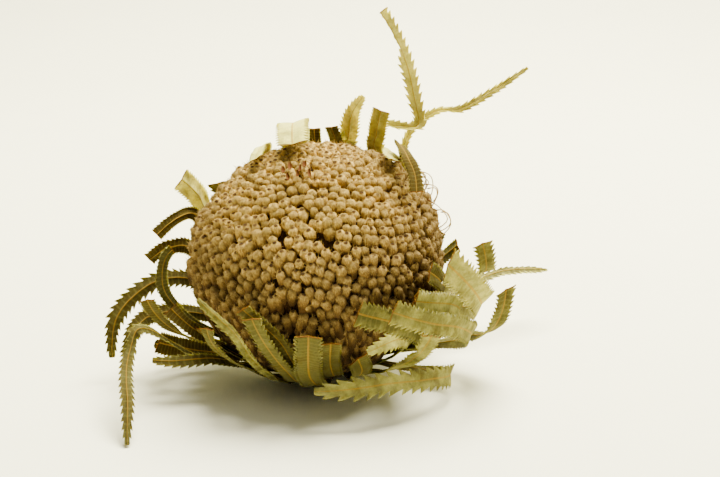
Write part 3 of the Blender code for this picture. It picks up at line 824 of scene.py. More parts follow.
LEAVES = (
    Leaf("leaf_front_wide", 8.3, "cut", 0.36, 1.3, (
        (-3, 36, OUTER, 0), (-4, 60, 42.2, 0), (-4, 78, 43, 0), (0, 104, 46.8, 0))),
    Leaf("leaf_front_left", 6.3, "cut", 0.37, 1.8, (
        (-15, 36, OUTER, 0), (-15, 58, 41.3, 0), (-14, 77, 41.7, 0), (-16, 93, 43.2, 0),
        (-20, 110, 46.5, 0))),
    Leaf("leaf_front_behind", 5.5, "cut", 0.25, 1.6, (
        (-9, 36, INNER, 0), (-10, 60, 39.6, 0), (-11, 83, 39.9, 0), (-13, 96, 40.4, 0),
        (-19, 105, 41.4, 0), (-25, 112, 44.5, 0))),
    Leaf("leaf_front_folded", 4.6, "point", 0.5, 2.2, (
        (-26, 36, OUTER, 0), (-26, 58, 41.5, 0), (-25, 75, 41.7, 0), (-28, 98, 43.8, 0),
        (-34, 107, 46.5, 0), (-42, 112, 49, 0)), 30.0),
    Leaf("leaf_front_slanted", 6.3, "slant", 0.37, 1.6, (
        (-36, 36, OUTER, 0), (-37, 60, 41.8, 0), (-39, 74, 42.4, 0), (-42, 90, 44.6, 0),
        (-41, 100, 46, 0))),
    Leaf("leaf_front_small", 6.4, "cut", 0.35, 1.1, ((5, 36, INNER, 0), (5, 77, 40, 0), (7, 97, 43, 0))),
    Leaf("leaf_front_short", 6.6, "slant", 0.4, 1.15, (
        (18, 36, OUTER, 0), (19, 65, 41.8, 0), (16, 87, 44, 0))),
    Leaf("leaf_floor_long", 7.4, "point", 0.6, 3.9, (
        (45, 36, OUTER, 0), (53, 48, 46, 0), (56, 58, 52, 20), (48, 66, 53, 42), (38, 72, 52, 48),
        (22, 80, 51.3, 50), (-1, 84, 51, 50))),
    Leaf("leaf_right_pale", 5.6, "point", 0.74, 2.2, (
        (34, 36, INNER, 0), (42, 60, 40.8, 0), (44, 74, 41.6, 10), (33, 88, 43.6, 35),
        (19, 92, 46.6, 45))),
    Leaf("leaf_right_torn", 6.5, "cut", 0.55, 1.6, (
        (30, 36, OUTER, 0), (36, 60, 43.5, -15), (40, 74, 46, -35), (43, 88, 49, -35))),
    Leaf("leaf_right_long", 7.8, "cut", 0.55, 1.6, (
        (62, 36, OUTER, 0), (68, 54, 46, 0), (67, 68, 51.5, 0), (54, 85, 52, 0), (42, 95, 50.5, 0),
        (30, 105, 48, 0))),
    Leaf("leaf_right_under", 8.2, "cut", 0.5, 1.6, (
        (51, 36, INNER, 0), (54, 60, 41.5, 0), (47, 80, 44, 0), (33, 97, 44.6, 0), (19, 107, 43, 0))),
    Leaf("leaf_right_dark", 6.0, "cut", 0.2, 1.2, (
        (63, 36, INNER, 0), (61, 80, 40.2, 0), (52, 92, 41.2, 0), (45, 101, 41.8, 0))),
    Leaf("leaf_right_crinkled", 6.5, "cut", 0.25, 1.2, (
        (74, 36, INNER, 0), (72, 80, 40.6, 0), (63, 95, 41.8, 0), (54, 107, 43.2, 0))),
    Leaf("leaf_right_middle", 6.8, "cut", 0.62, 1.45, (
        (73, 36, OUTER, 0), (74, 57, 43.6, 0), (69, 76, 46.8, 0), (58, 90, 46.6, 0), (41, 103, 46, 0))),
    Leaf("leaf_right_broad", 10.4, "slant", 0.66, 1.6, (
        (89, 36, INNER, 0), (89, 56, 43, 0), (80, 72, 50.6, -15), (68, 86, 52, -30),
        (56, 109, 50.5, -35))),
    Leaf("leaf_right_upright", 6.8, "cut", 0.5, 1.75, (
        (100, 36, OUTER, 0), (102, 58, 44.5, -10), (95, 74, 50, -50), (86, 84, 51.5, -65),
        (84, 97, 51, -70))),
    Leaf("leaf_right_outer", 6.3, "slant", 0.5, 1.75, (
        (84, 36, OUTER, 0), (85, 50, 47.5, 0), (79, 61, 55, -30), (76, 72, 57.5, -60),
        (77, 84, 58, -60))),
    Leaf("leaf_left_pale", 8.0, "cut", 1.0, 1.2, (
        (-128, 36, OUTER, 0), (-127, 80, 43, 0), (-123, 104, 43.6, 0), (-120, 112, 45.6, 0),
        (-116, 118, 49.8, 0))),
    Leaf("leaf_left_edge", 4.5, "cut", 0.12, 1.2, (
        (-128, 36, INNER, 0), (-126, 66, 40.2, 0), (-120, 92, 40.8, 0), (-114, 106, 42, 0),
        (-101, 112, 44.5, 30), (-92, 109, 49.5, 60))),
    Leaf("leaf_left_dark", 5.5, "cut", 0.12, 1.2, (
        (-117, 36, INNER, 0), (-114, 66, 40.6, 0), (-107, 92, 42, -8), (-101, 97, 47, -22),
        (-98, 93, 54, -30))),
    Leaf("leaf_left_curled", 4.4, "cut", 0.35, 1.2, (
        (-72, 36, INNER, 0), (-74, 64, 41.5, 0), (-77, 84, 45.5, -35), (-79, 96, 47.5, -65),
        (-83, 105, 46, -60), (-86, 108, 43.4, -45))),
    Leaf("leaf_left_long", 6.6, "point", 0.3, 2.4, (
        (-106, 36, INNER, 0), (-104, 64, 40.5, 0), (-98, 82, 42.5, 0), (-92, 89, 49, -10),
        (-86, 88.5, 57.5, 5), (-80, 85.5, 64.5, 40), (-75, 78, 69.5, 55))),
    Leaf("leaf_left_forked", 6.0, "cut", 0.3, 1.5, (
        (-102, 36, OUTER, 0), (-99, 58, 44.5, 0), (-92, 73, 50, -15), (-84, 80.5, 55.5, -5),
        (-78, 81, 60.5, 25), (-75, 77, 64.5, 50))),
    Leaf("leaf_left_short", 6.5, "slant", 0.25, 1.3, (
        (-80, 36, OUTER, 0), (-81, 58, 46.6, 0), (-82, 76, 51.5, 60), (-78, 92, 53, 60))),
    Leaf("leaf_left_low", 6.6, "point", 0.25, 1.6, (
        (-91, 36, OUTER, 0), (-87, 50, 46, -15), (-84, 60, 52, -35), (-84, 70, 59, -45))),
    Leaf("leaf_left_comb", 7.2, "cut", 0.15, 1.1, (
        (-69, 36, OUTER, 0), (-69, 56, 43.6, -6), (-71, 70, 49, -40), (-70, 80, 54, -55))),
    Leaf("leaf_left_floor", 6.0, "point", 0.3, 2.2, (
        (-47, 36, OUTER, 0), (-50, 56, 41.8, 0), (-51, 70, 43.4, -10), (-53, 78, 47.5, -25),
        (-59, 84, 58.5, -35))),
    Leaf("leaf_left_hanging", 4.7, "point", 0.3, 2.6, (
        (-58, 36, OUTER, 0), (-60, 60, 44.6, 0), (-67, 82, 51.5, 0), (-66, 91, 58, 5),
        (-60, 89, 64, 45), (-46, 89, 74, 60), (-39, 86, 83.6, 62))),
    Leaf("leaf_left_inner", 7.0, "cut", 0.1, 1.2, (
        (-60, 36, INNER, 0), (-60, 70, 41, 0), (-64, 84, 44, -35), (-70, 92, 47, -55))),
    Leaf("leaf_left_hidden", 6.0, "cut", 0.1, 1.2, (
        (-48, 36, INNER, 0), (-49, 76, 40.8, 0), (-52, 92, 43.5, 0))),
    Leaf("leaf_top_pale", 10.0, "cut", 0.84, 1.2, (
        (-170, 36, INNER, 0), (-171, 100, 41.4, 0), (-172, 120, 42.8, 0), (-173, 140, 44.4, 0),
        (-171, 156, 43.2, 0), (-166, 167, 40.8, 0))),
    Leaf("leaf_top_left", 5.0, "cut", 0.8, 1.2, (
        (-150, 36, INNER, 0), (-156, 108, 41.2, 0), (-153, 132, 40.4, 0), (-138, 149, 40, 0),
        (-118, 157, 40, 0))),
    Leaf("leaf_top_stub", 4.5, "cut", 0.15, 1.1, (
        (180, 36, OUTER, 0), (180, 100, 44.5, 0), (179, 117, 47.5, 0))),
    Leaf("leaf_top_short", 5.0, "cut", 0.45, 1.1, (
        (169, 36, INNER, 0), (169, 104, 42, 0), (171, 119, 46.8, 0))),
    Leaf("leaf_top_comb", 7.0, "point", 0.93, 1.4, (
        (164, 36, OUTER, 0), (166, 104, 44, 0), (165, 112, 46.5, 0), (162, 121, 51.5, 0),
        (158, 123, 57.5, 0))),
    Leaf("leaf_top_stump", 6.5, "cut", 0.72, 1.2, (
        (151, 36, INNER, 0), (152, 104, 42, 0), (151, 116, 47, 0), (148, 124, 53, 0))),
    Leaf("leaf_top_small", 4.4, "cut", 0.75, 1.2, (
        (127, 36, INNER, 0), (130, 90, 39.9, 0), (134, 112, 39.9, 0), (128, 128, 40.2, 0),
        (114, 138, 40.6, 0), (103, 138, 41.4, 0))),
    Leaf("leaf_top_brown", 4.6, "cut", 0.05, 1.3, (
        (134, 36, OUTER, 0), (134, 80, 42.2, 0), (136, 104, 42.4, 0), (131, 121, 43.2, 0),
        (118, 133, 44.2, 0), (101, 136, 45, 20), (88, 133, 44.4, 45), (78, 130, 43.2, 50))),
    Leaf("leaf_top_long", 5.6, "cut", 0.85, 2.8, (
        (153, 36, OUTER, 0), (154, 75, 45.5, 0), (156, 104, 50.5, 0), (152, 114, 52.5, 0),
        (144, 115, 53, 0), (135, 117, 55, 10), (137, 124, 60.5, 42), (139, 134, 69, 50),
        (142, 146, 79, 55))),
    Leaf("leaf_top_thin", 3.2, "point", 0.93, 2.6, (
        (140, 36, INNER, 0), (141, 80, 43, 0), (146, 97, 50, 0), (145, 106, 55.2, 0),
        (139.5, 112, 59, 0), (133, 115, 63, 0), (127, 114.5, 67, 0), (121, 116, 77, 0), (116, 118, 88, 0))),
    Leaf("leaf_back_long", 5.5, "point", 0.45, 2.4, (
        (111, 36, OUTER, 0), (114, 45, 46, 0), (118, 55, 58, 0), (120, 61, 74, 0), (120, 62, 95, 0))),
    Leaf("leaf_back_left", 6.8, "cut", 0.5, 1.2, (
        (-160, 36, OUTER, 0), (-159, 86, 44, 0), (-156, 100, 48, 0))),
    Leaf("leaf_back_low", 6.4, "slant", 0.5, 1.2, (
        (-139, 36, OUTER, 0), (-139, 88, 43.5, 0), (-136, 104, 47, 0))),
    Leaf("leaf_back_short", 6.0, "cut", 0.4, 1.2, (
        (106, 36, INNER, 0), (105, 70, 41, 0), (102, 84, 45, 0))),
    Leaf("leaf_back_trimmed", 6.2, "cut", 0.45, 1.2, (
        (122, 36, OUTER, 0), (120, 62, 42.6, 0), (121, 79, 46, 0))),
)
print("leaves:", len(LEAVES))

# %% [markdown]
# A leaf starts as its midrib: a smooth curve through the table's points, with the direction it runs in and
# the side that it turns away from the head at each place. These are the source's rules, worked out for all
# rows of a leaf at once.

# %% Midribs and widths
BASE_WIDTH = 3.3
WIDENS_OVER = 0.42
POINT_WIDTH = 0.9
POINT_OVER = 0.16
FOLDS_OVER = 0.3


def midrib_length(leaf):
    """Length in mm."""
    rows = through(leaf.midrib)
    places = around(rows[:, 0], rows[:, 1], rows[:, 2])
    return np.linalg.norm(np.diff(places, axis=0), axis=1).sum() / MM


def along_midrib(leaf, share):
    """Places, forward directions and facing directions at these shares of the leaf's length."""
    rows = through(leaf.midrib)
    places = around(rows[:, 0], rows[:, 1], rows[:, 2])
    run = np.concatenate(([0.0], np.cumsum(np.linalg.norm(np.diff(places, axis=0), axis=1))))
    run /= run[-1]
    headings = unit(np.vstack((places[1] - places[0], places[2:] - places[:-2], places[-1] - places[-2])))
    place = np.column_stack([np.interp(share, run, places[:, axis]) for axis in range(3)])
    forward = unit(np.column_stack([np.interp(share, run, headings[:, axis]) for axis in range(3)]))
    roll = np.radians(np.interp(share, run, rows[:, 3]))[:, None]
    out = unit(place - HEAD_CENTRE)
    level = unit(out - AXIS * (out @ AXIS)[:, None])
    climbing = np.sum(forward * out, axis=1)[:, None]
    bent = level * (forward @ AXIS)[:, None] - AXIS * np.sum(forward * level, axis=1)[:, None]
    facing = out - forward * climbing + bent * climbing ** 2
    facing = unit(facing - forward * np.sum(facing * forward, axis=1)[:, None])
    return place, forward, facing * np.cos(roll) + np.cross(forward, facing) * np.sin(roll)


def half_width(leaf, share):
    """Half the blade's width in mm."""
    rise = np.clip(share / WIDENS_OVER, 0.0, 1.0)
    wide = BASE_WIDTH / 2.0 + (leaf.width - BASE_WIDTH) / 2.0 * rise * rise * (3.0 - 2.0 * rise)
    if leaf.end == "point":
        left = np.sqrt(np.clip((1.0 - share) / POINT_OVER, 0.0, 1.0))
        wide = POINT_WIDTH / 2.0 + (wide - POINT_WIDTH / 2.0) * left
    return wide


print("longest leaf in mm:", round(max(midrib_length(leaf) for leaf in LEAVES), 1))

# %% [markdown]
# The saw edge is set out row by row. A tooth rises slowly and drops off sharply on its forward side. Some
# edges are torn: the long leaf on top has lost one side of its far half, and one on the right has a notch.

# %% Teeth and tears
# A tooth's pitch in mm, and the depth of its notch as a share of the half width.
FINE_TOOTH = 1.1
COARSENS = 1.7
DEPTH_FOR_PITCH = ((1.0, 1.3, 1.8, 2.6, 3.7), (0.17, 0.24, 0.34, 0.42, 0.47))
PLAIN_MM = 4.0
PLAIN_STEP = 1.3
# Share of the way along a tooth, and its height there from notch 0 to tip 1.
TOOTH_ROWS = ((0.0, 0.0), (0.36, 0.36), (0.7, 0.78), (0.93, 1.0))
CUT_BAND = 0.45
TIP_SHORT = 0.12
# A tear's side, the shares of the length where it starts and stops, and the share of the width that is left.
TEARS = {"leaf_top_long": (1.0, 0.83, 1.01, 0.14), "leaf_right_torn": (-1.0, 0.72, 0.84, 0.25)}
TEAR_OVER = 0.04
TEAR_RAGGED = 0.07


def tooth_rows(leaf, length, draw):
    """Rows of (millimetres along, shape from notch 0 to tip 1, tooth number, pitch)."""
    rows = [(at, 1.0, 0.0, FINE_TOOTH) for at in np.arange(0.0, PLAIN_MM, PLAIN_STEP)]
    at = PLAIN_MM
    number = 0
    while at < length - CUT_BAND - 0.3:
        share = at / length
        pitch = FINE_TOOTH + (leaf.tooth - FINE_TOOTH) * min(1.0, share * COARSENS) ** 2
        pitch *= draw.uniform(0.9, 1.1)
        for phase, shape in TOOTH_ROWS:
            if at + pitch * phase < length - CUT_BAND - 0.1:
                rows.append((at + pitch * phase, shape, number + phase, pitch))
        at += pitch
        number += 1
    rows.append((length - CUT_BAND, 0.7, number, FINE_TOOTH))
    rows.append((length - TIP_SHORT, 0.6, number + 0.3, FINE_TOOTH))
    return np.array(rows)


def torn_to(leaf, side, share, draw):
    """How much of the blade's width is left at each row on this side."""
    left = np.ones(len(share))
    if leaf.name in TEARS and TEARS[leaf.name][0] == side:
        _, start, stop, kept = TEARS[leaf.name]
        middle = (start + stop) / 2.0
        if stop > 1.0:
            torn = np.clip((share - start) / TEAR_OVER, 0.0, 1.0)
        else:
            torn = np.clip(1.0 - np.abs(share - middle) / (middle - start), 0.0, 1.0)
        ragged = np.array([draw.uniform(-TEAR_RAGGED, TEAR_RAGGED) for _ in share])
        left = 1.0 - torn * (1.0 - kept - ragged)
    return left


# %% [markdown]
# The leaf material reads where it is on the blade: how far across, which tooth, how far along. From that it
# paints the orange midrib, a vein to each tooth, a pale rim, brown on the cut, and a different tone for each
# leaf, with a painted glow on the palest. Towards the base it goes brown, partly the leaf's own colour and
# partly painted shade under the head. Undersides, turned towards the head, are a shade darker: painted shade.
# Light passes through the blade a little, so that a pale leaf with the lamp behind it glows.

# %% The leaf material
def make_blade():
    tree, given, out = new_group("Leaf blade", (
        ("Dark", "Color"), ("Olive", "Color"), ("Pale", "Color"), ("Palest", "Color"), ("Rib", "Color"),
        ("Cut", "Color"), ("Under", "Float")), (("Colour", "Color"), ("Height", "Float")))
    share, cut, tone = stored_marks(tree)
    across, tooth = stored_place(tree)
    aside = sum_up(tree, "ABSOLUTE", across)
    patches = soft_step(tree, speckle(tree, 260.0, detail=3.0), 0.3, 0.7, -0.07, 0.07)
    tone = sum_up(tree, "ADD", tone, patches)
    dark = blend(tree, soft_step(tree, tone, 0.05, 0.45), given["Dark"], given["Olive"])
    light = blend(tree, soft_step(tree, tone, 0.4, 0.95), dark, given["Pale"])
    # The palest tones step up to a brighter colour still: painted glow of leaves lit from behind.
    leafy = blend(tree, soft_step(tree, tone, 0.88, 1.02), light, given["Palest"])
    # Undersides are a little darker: painted shade on the side turned to the head.
    under = sum_up(tree, "MULTIPLY", given["Under"], 0.12)
    turned = blend(tree, under, leafy, given["Dark"])
    aged = place_group(tree, AGEING, Colour=turned, Stain=given["Dark"], Amount=0.55, Stain_scale=170.0)
    slant = sum_up(tree, "SUBTRACT", tooth, sum_up(tree, "MULTIPLY", aside, -0.25))
    beat = sum_up(tree, "ABSOLUTE", sum_up(tree, "SUBTRACT", sum_up(tree, "FRACT", slant), 0.5))
    vein = sum_up(tree, "MULTIPLY", soft_step(tree, beat, 0.04, 0.2, 1.0, 0.0), 0.05)
    veined = blend(tree, vein, aged["Colour"], given["Pale"])
    # Brown towards the base: partly the leaf's own colour, partly painted shade under the head.
    based = blend(tree, soft_step(tree, share, 0.05, 0.4, 0.75, 0.0), veined, given["Dark"])
    rimmed = blend(tree, soft_step(tree, aside, 0.86, 1.0, 0.0, 0.12), based, given["Pale"])
    rib = soft_step(tree, aside, 0.035, 0.085, 1.0, 0.0)
    ribbed = blend(tree, sum_up(tree, "MULTIPLY", rib, 0.62), rimmed, given["Rib"])
    tree.links.new(blend(tree, cut, ribbed, given["Cut"]), out["Colour"])
    relief = sum_up(tree, "ADD", vein, sum_up(tree, "MULTIPLY", rib, 0.6))
    tree.links.new(sum_up(tree, "MULTIPLY_ADD", aged["Height"], 0.35, relief), out["Height"])
    return tree


BLADE = make_blade()


def leaf_colour(tree):
    under = tree.nodes.new("ShaderNodeAttribute")
    under.attribute_name = "marks"
    made = place_group(
        tree, BLADE, Dark=(0.055, 0.036, 0.005, 1.0), Olive=(0.08, 0.073, 0.018, 1.0),
        Pale=(0.55, 0.51, 0.12, 1.0), Palest=(0.86, 0.82, 0.2, 1.0), Rib=(0.30, 0.165, 0.012, 1.0),
        Cut=(0.09, 0.03, 0.005, 1.0), Under=under.outputs["Alpha"])
    return made["Colour"], made["Height"]


LEAF_SURFACE = new_surface("dry_leaf", leaf_colour, 0.85, bump_mm=0.16, subsurface=0.8)
print("leaf material nodes:", len(LEAF_SURFACE.node_tree.nodes), "in group:", len(BLADE.nodes))

# %% [markdown]
# Now the blade: for each row a station on the midrib, and nine columns across it. The columns fold up along
# the midrib, curl down at the rim and ripple a little. The same grid is laid twice, above and below, and
# stitched along its rim. Beneath, the midrib stands out as a ridge.

# %% The form of a blade
COLUMNS = np.array((-1.0, -0.72, -0.4, -0.12, 0.0, 0.12, 0.4, 0.72, 1.0))
ASIDE = np.abs(COLUMNS)
INSIDE_RIM = 0.93
CURL = 0.35
RIPPLE = 0.16
RIPPLES_PER_MM = 0.55
TOOTH_LEAN = 0.28
END_QUIET_MM = 1.5
SLANT_MM = 6.0
SLANT_RUN = 0.55


def blade_reach(leaf, rows, share, half, draw):
    """How far each column stands from the midrib in mm, with the teeth and tears cut out."""
    depth = np.interp(rows[:, 3], *DEPTH_FOR_PITCH) * np.clip(share * 5.0, 0.3, 1.0)
    edge = 1.0 - (depth * (1.0 - rows[:, 1]))[:, None]
    reach = np.minimum(ASIDE, edge * np.where(ASIDE < 1.0, INSIDE_RIM, 1.0)) * half[:, None]
    for side in (-1.0, 1.0):
        chosen = np.sign(COLUMNS) == side
        reach[:, chosen] *= torn_to(leaf, side, share, draw)[:, None]
    return reach


def blade_raise(leaf, share, length, reach, number):
    """How far each point is folded up along the midrib, rippled and curled down at the rim, in mm."""
    fold = math.tan(math.radians(leaf.fold)) * np.clip(share / FOLDS_OVER, 0.0, 1.0)[:, None]
    ripple = RIPPLE * np.sin(share * length * RIPPLES_PER_MM + number)[:, None] * COLUMNS * ASIDE
    return fold * reach + ripple - CURL * np.clip(share * 2.0, 0.0, 1.0)[:, None] * ASIDE ** 4


def blade_ahead(leaf, rows, length, half):
    """How far each point is drawn forward in mm: the teeth are, and one side of a slanted cut."""
    ahead = (rows[:, 1] * rows[:, 3] * TOOTH_LEAN)[:, None] * ASIDE ** 5
    ahead *= np.clip((length - rows[:, 0]) / END_QUIET_MM, 0.0, 1.0)[:, None]
    if leaf.end == "slant":
        ramp = np.clip((rows[:, 0] - length + SLANT_MM) / SLANT_MM, 0.0, 1.0) ** 2
        ahead = ahead + ramp[:, None] * COLUMNS * half[:, None] * SLANT_RUN
    return ahead


# %% Making a leaf
HALF_THICK = 0.15
THINS_TO = 0.5
RIDGE = 0.22
RIDGE_FOOT = 0.04
FLOOR_CLEAR = 0.1 * MM
LEAF_SEED = 300
LEAF_SHARP_DEG = 60.0
TONE_SPREAD = 0.04


def blade_paint(leaf, rows, share, draw):
    """UV rows (column, tooth number) and marks rows (share, cut, tone, underside), top first."""
    cut = np.zeros(len(rows))
    if leaf.end != "point":
        cut[-1] = 1.0
    tone = min(1.0, max(0.0, leaf.tone + draw.uniform(-TONE_SPREAD, TONE_SPREAD)))
    wide = len(COLUMNS)
    uv = np.column_stack((np.tile(COLUMNS, len(rows)), np.repeat(rows[:, 2], wide)))
    marks = np.column_stack((np.repeat(share, wide), np.repeat(cut, wide), np.full(len(uv), tone)))
    underside = np.repeat((0.0, 1.0), len(uv))
    return np.vstack((uv, uv)), np.column_stack((np.vstack((marks, marks)), underside))


def make_leaf(leaf, number):
    draw = random.Random(LEAF_SEED + number)
    length = midrib_length(leaf)
    rows = tooth_rows(leaf, length, draw)
    share = rows[:, 0] / length
    place, forward, facing = along_midrib(leaf, share)
    across = np.cross(forward, facing)
    half = half_width(leaf, share)
    reach = blade_reach(leaf, rows, share, half, draw)
    raised = blade_raise(leaf, share, length, reach, number)
    ahead = blade_ahead(leaf, rows, length, half)
    sheet = (place[:, None] + across[:, None] * (reach * np.sign(COLUMNS) * MM)[..., None]
             + facing[:, None] * (raised * MM)[..., None] + forward[:, None] * (ahead * MM)[..., None])
    lift = facing[:, None] * MM
    thick = HALF_THICK * (1.0 - THINS_TO * ASIDE ** 3)[None, :, None]
    ridge = np.where(ASIDE == 0.0, RIDGE, np.where(ASIDE < 0.2, RIDGE_FOOT, 0.0))[None, :, None]
    top = sheet + lift * thick - lift * ridge * 0.25
    below = sheet - lift * thick - lift * ridge
    points = np.concatenate((top.reshape(-1, 3), below.reshape(-1, 3)))
    points[:, 2] = np.maximum(points[:, 2], FLOOR_CLEAR)
    uv, marks = blade_paint(leaf, rows, share, draw)
    return make_piece(
        leaf.name.replace("leaf_", "blade_"), points, sheet_faces(len(rows), len(COLUMNS)), LEAF_SURFACE,
        uv, marks, LEAF_SHARP_DEG, (leaf.name,))


blades = [make_leaf(leaf, number) for number, leaf in enumerate(LEAVES)]
print("leaf faces:", sum(len(blade.data.polygons) for blade in blades))

# %% [markdown]
# ## Under the head
#
# Below, every leaf runs down to the stem on a stiff brown stalk, and the stalks crowd each other into a
# shallow bowl. Each leaf gets its own stalk here, in the tier that it springs from, and spare ones fill the
# gaps. They are flattened rods, each starting a bit further out than the last so that they overlap.

# %% Stalks
STALK_SIDES = 8
STALK_ROWS = 12
STALK_THICK = 0.62
# Share of the way along, and share of the stalk's full size there.
STALK_TAPER = ((0.0, 0.45), (0.12, 0.8), (0.85, 1.0), (1.0, 0.9))
STALK_SEED = 52
SPARE_STALKS = 34
SPARE_HALF = 1.7
SPARE_REACHES = (38.5, 39.4, 40.4)


def bark_colour(tree):
    _, _, tone = stored_marks(tree)
    base = blend(tree, tone, (0.06, 0.03, 0.006, 1.0), (0.15, 0.10, 0.02, 1.0))
    aged = place_group(tree, AGEING, Colour=base, Stain=(0.03, 0.013, 0.003, 1.0), Amount=0.8)
    return aged["Colour"], aged["Height"]


STALK_SURFACE = new_surface("dry_stalk", bark_colour, 0.8, bump_mm=0.25, sheen=0.1)


def stalk_rows():
    """(bearing, first climb, last climb, reach, half width in mm, tone) for each stalk."""
    draw = random.Random(STALK_SEED)
    rows = []
    for leaf in LEAVES:
        bearing, climb, reach, _ = leaf.midrib[0]
        rows.append((bearing, draw.uniform(8.5, 17.0), climb + 2.0, reach, BASE_WIDTH / 2.0, draw.random()))
    for index in range(SPARE_STALKS):
        bearing = index * 360.0 / SPARE_STALKS + draw.uniform(-3.0, 3.0)
        reach = draw.choice(SPARE_REACHES)
        first = draw.uniform(8.0, 14.0)
        last = draw.uniform(28.0, 35.0)
        rows.append((bearing, first, last, reach, SPARE_HALF, draw.random()))
    return rows


def make_stalks():
    points, faces, marks = [], [], []
    angles = np.arange(STALK_SIDES) * 2.0 * math.pi / STALK_SIDES
    share = np.linspace(0.0, 1.0, STALK_ROWS)
    taper = np.interp(share, *np.array(STALK_TAPER).T) * MM
    size = STALK_ROWS * STALK_SIDES
    for bearing, first, last, reach, half, tone in stalk_rows():
        faces += tube_faces(STALK_ROWS, STALK_SIDES, start=len(points) * size)
        climb = first + (last - first) * share
        middle = around(bearing, climb, reach)
        out = outward(bearing, climb)
        sideways = unit(np.cross(out, AXIS))
        rings = (middle[:, None] + sideways[:, None] * np.outer(taper * half, np.cos(angles))[..., None]
                 + out[:, None] * np.outer(taper * STALK_THICK, np.sin(angles))[..., None])
        points.append(rings.reshape(-1, 3))
        marks.append(np.column_stack((np.repeat(share, STALK_SIDES), np.zeros(size), np.full(size, tone))))
    everywhere = np.concatenate(points)
    everywhere[:, 2] = np.maximum(everywhere[:, 2], FLOOR_CLEAR)
    return make_piece(
        "leaf_stalks", everywhere, faces, STALK_SURFACE, marks=np.concatenate(marks),
        replaced=("leaf_bases",))


leaf_stalks = make_stalks()
print("stalk faces:", len(leaf_stalks.data.polygons))

# %% [markdown]
# Behind the stalks lies a thin dark bowl, the scaly end of the stem that carries them all, so that no light
# shows between them. Its dark tone is partly the stem's own brown and partly painted shade between the
# stalks.

# %% The bowl behind the stalks
BOWL_CLIMBS = (7.6, 32.0)
BOWL_REACHES = (37.8, 38.9)
BOWL_ROWS = 14
BOWL_COLUMNS = 120
BOWL_RIBS = 30.0
BOWL_RIB_HIGH = 0.25
# Dark: partly the stem's brown, partly painted shade between the stalks.
BOWL_SHADE_TONE = 0.1


def make_bowl():
    """A ring of rows out along its lower face and back along its upper one, closed into itself."""
    climbs_out = np.linspace(*BOWL_CLIMBS, BOWL_ROWS)
    climbs = np.concatenate((climbs_out, np.linspace(*BOWL_CLIMBS[::-1], BOWL_ROWS)))
    reaches = np.repeat(BOWL_REACHES[::-1], BOWL_ROWS)
    bearing = np.arange(BOWL_COLUMNS) * 360.0 / BOWL_COLUMNS
    rows, turns = np.meshgrid(np.arange(2 * BOWL_ROWS), bearing, indexing="ij")
    wavy = BOWL_RIB_HIGH * np.sin(np.radians(turns * BOWL_RIBS)) * (rows < BOWL_ROWS)
    points = around(turns, climbs[rows], reaches[rows] + wavy).reshape(-1, 3)
    points[:, 2] = np.maximum(points[:, 2], FLOOR_CLEAR)
    faces = grid_faces(2 * BOWL_ROWS, BOWL_COLUMNS, wrap=True)
    last = (2 * BOWL_ROWS - 1) * BOWL_COLUMNS
    for column in range(BOWL_COLUMNS):
        beside = (column + 1) % BOWL_COLUMNS
        faces.append((last + column, last + beside, beside, column))
    marks = np.column_stack((np.zeros(len(points)), np.zeros(len(points)), np.full(len(points), BOWL_SHADE_TONE)))
    return make_piece("scaly_bowl", points, faces, STALK_SURFACE, marks=marks)


scaly_bowl = make_bowl()
print("bowl faces:", len(scaly_bowl.data.polygons))

# %% [markdown]
# In the middle is what is left of the stem, a woody stub 8 mm across. Its bark is ridged along its length,
# and the end is sawn at a slant, so its paler wood and rings show.

# %% The stem stub
STEM_SIDES = 64
STEM_RADIUS = 4.0
STEM_TOP = 32.0
STEM_END = 36.7
STEM_SLANT = math.tan(math.radians(8.0))
SAWN_RINGS = (0.98, 0.9, 0.6, 0.3, 0.04)


def stem_colour(tree):
    across, along = stored_place(tree)
    wobble = speckle(tree, 500.0)
    ring = sum_up(tree, "FRACT", sum_up(tree, "ADD", sum_up(tree, "MULTIPLY", across, 7.0), wobble))
    wood = blend(tree, soft_step(tree, ring, 0.0, 0.8), (0.30, 0.18, 0.05, 1.0), (0.16, 0.08, 0.02, 1.0))
    sawn = soft_step(tree, along, 0.4, 0.6)
    bark = place_group(
        tree, AGEING, Colour=(0.10, 0.055, 0.014, 1.0), Stain=(0.03, 0.013, 0.003, 1.0), Amount=0.9)
    edge = soft_step(tree, across, 0.88, 0.94)
    ended = blend(tree, edge, wood, bark["Colour"])
    return blend(tree, sawn, bark["Colour"], ended), sum_up(tree, "ADD", bark["Height"], ring)


STEM_SURFACE = new_surface("stem_bark", stem_colour, 0.82, bump_mm=0.12)


def make_stem():
    turn = np.arange(STEM_SIDES) * 2.0 * math.pi / STEM_SIDES
    bark = STEM_RADIUS - 0.12 + 0.12 * np.sin(turn * 11.0) + 0.06 * np.sin(turn * 23.0)
    points, uv = [], []

    def ring(reach, share, slanted, sawn):
        """Adds a ring at this reach below the centre, at this share of the bark's radius."""
        radius = bark * share
        back = -np.cos(turn) * radius
        depth = reach + (STEM_SLANT * back if slanted else 0.0)
        place = (HEAD_CENTRE + np.outer(np.sin(turn) * radius, RIGHT) * MM
                 + np.outer(np.cos(turn) * radius, FRONT) * MM - np.outer(depth, AXIS) * MM)
        points.append(place)
        uv.append(np.column_stack((np.full(STEM_SIDES, share), np.full(STEM_SIDES, sawn))))

    for reach in np.linspace(STEM_TOP, STEM_END - 0.8, 6):
        ring(reach, 1.0, False, 0.0)
    ring(STEM_END - 0.06, 1.0, True, 0.0)
    for share in SAWN_RINGS:
        ring(STEM_END, share, True, 1.0)
    return make_piece(
        "sawn_stem", np.concatenate(points), tube_faces(len(points), STEM_SIDES), STEM_SURFACE,
        np.concatenate(uv), replaced=("stem_stub",))


sawn_stem = make_stem()
print("stem faces:", len(sawn_stem.data.polygons))

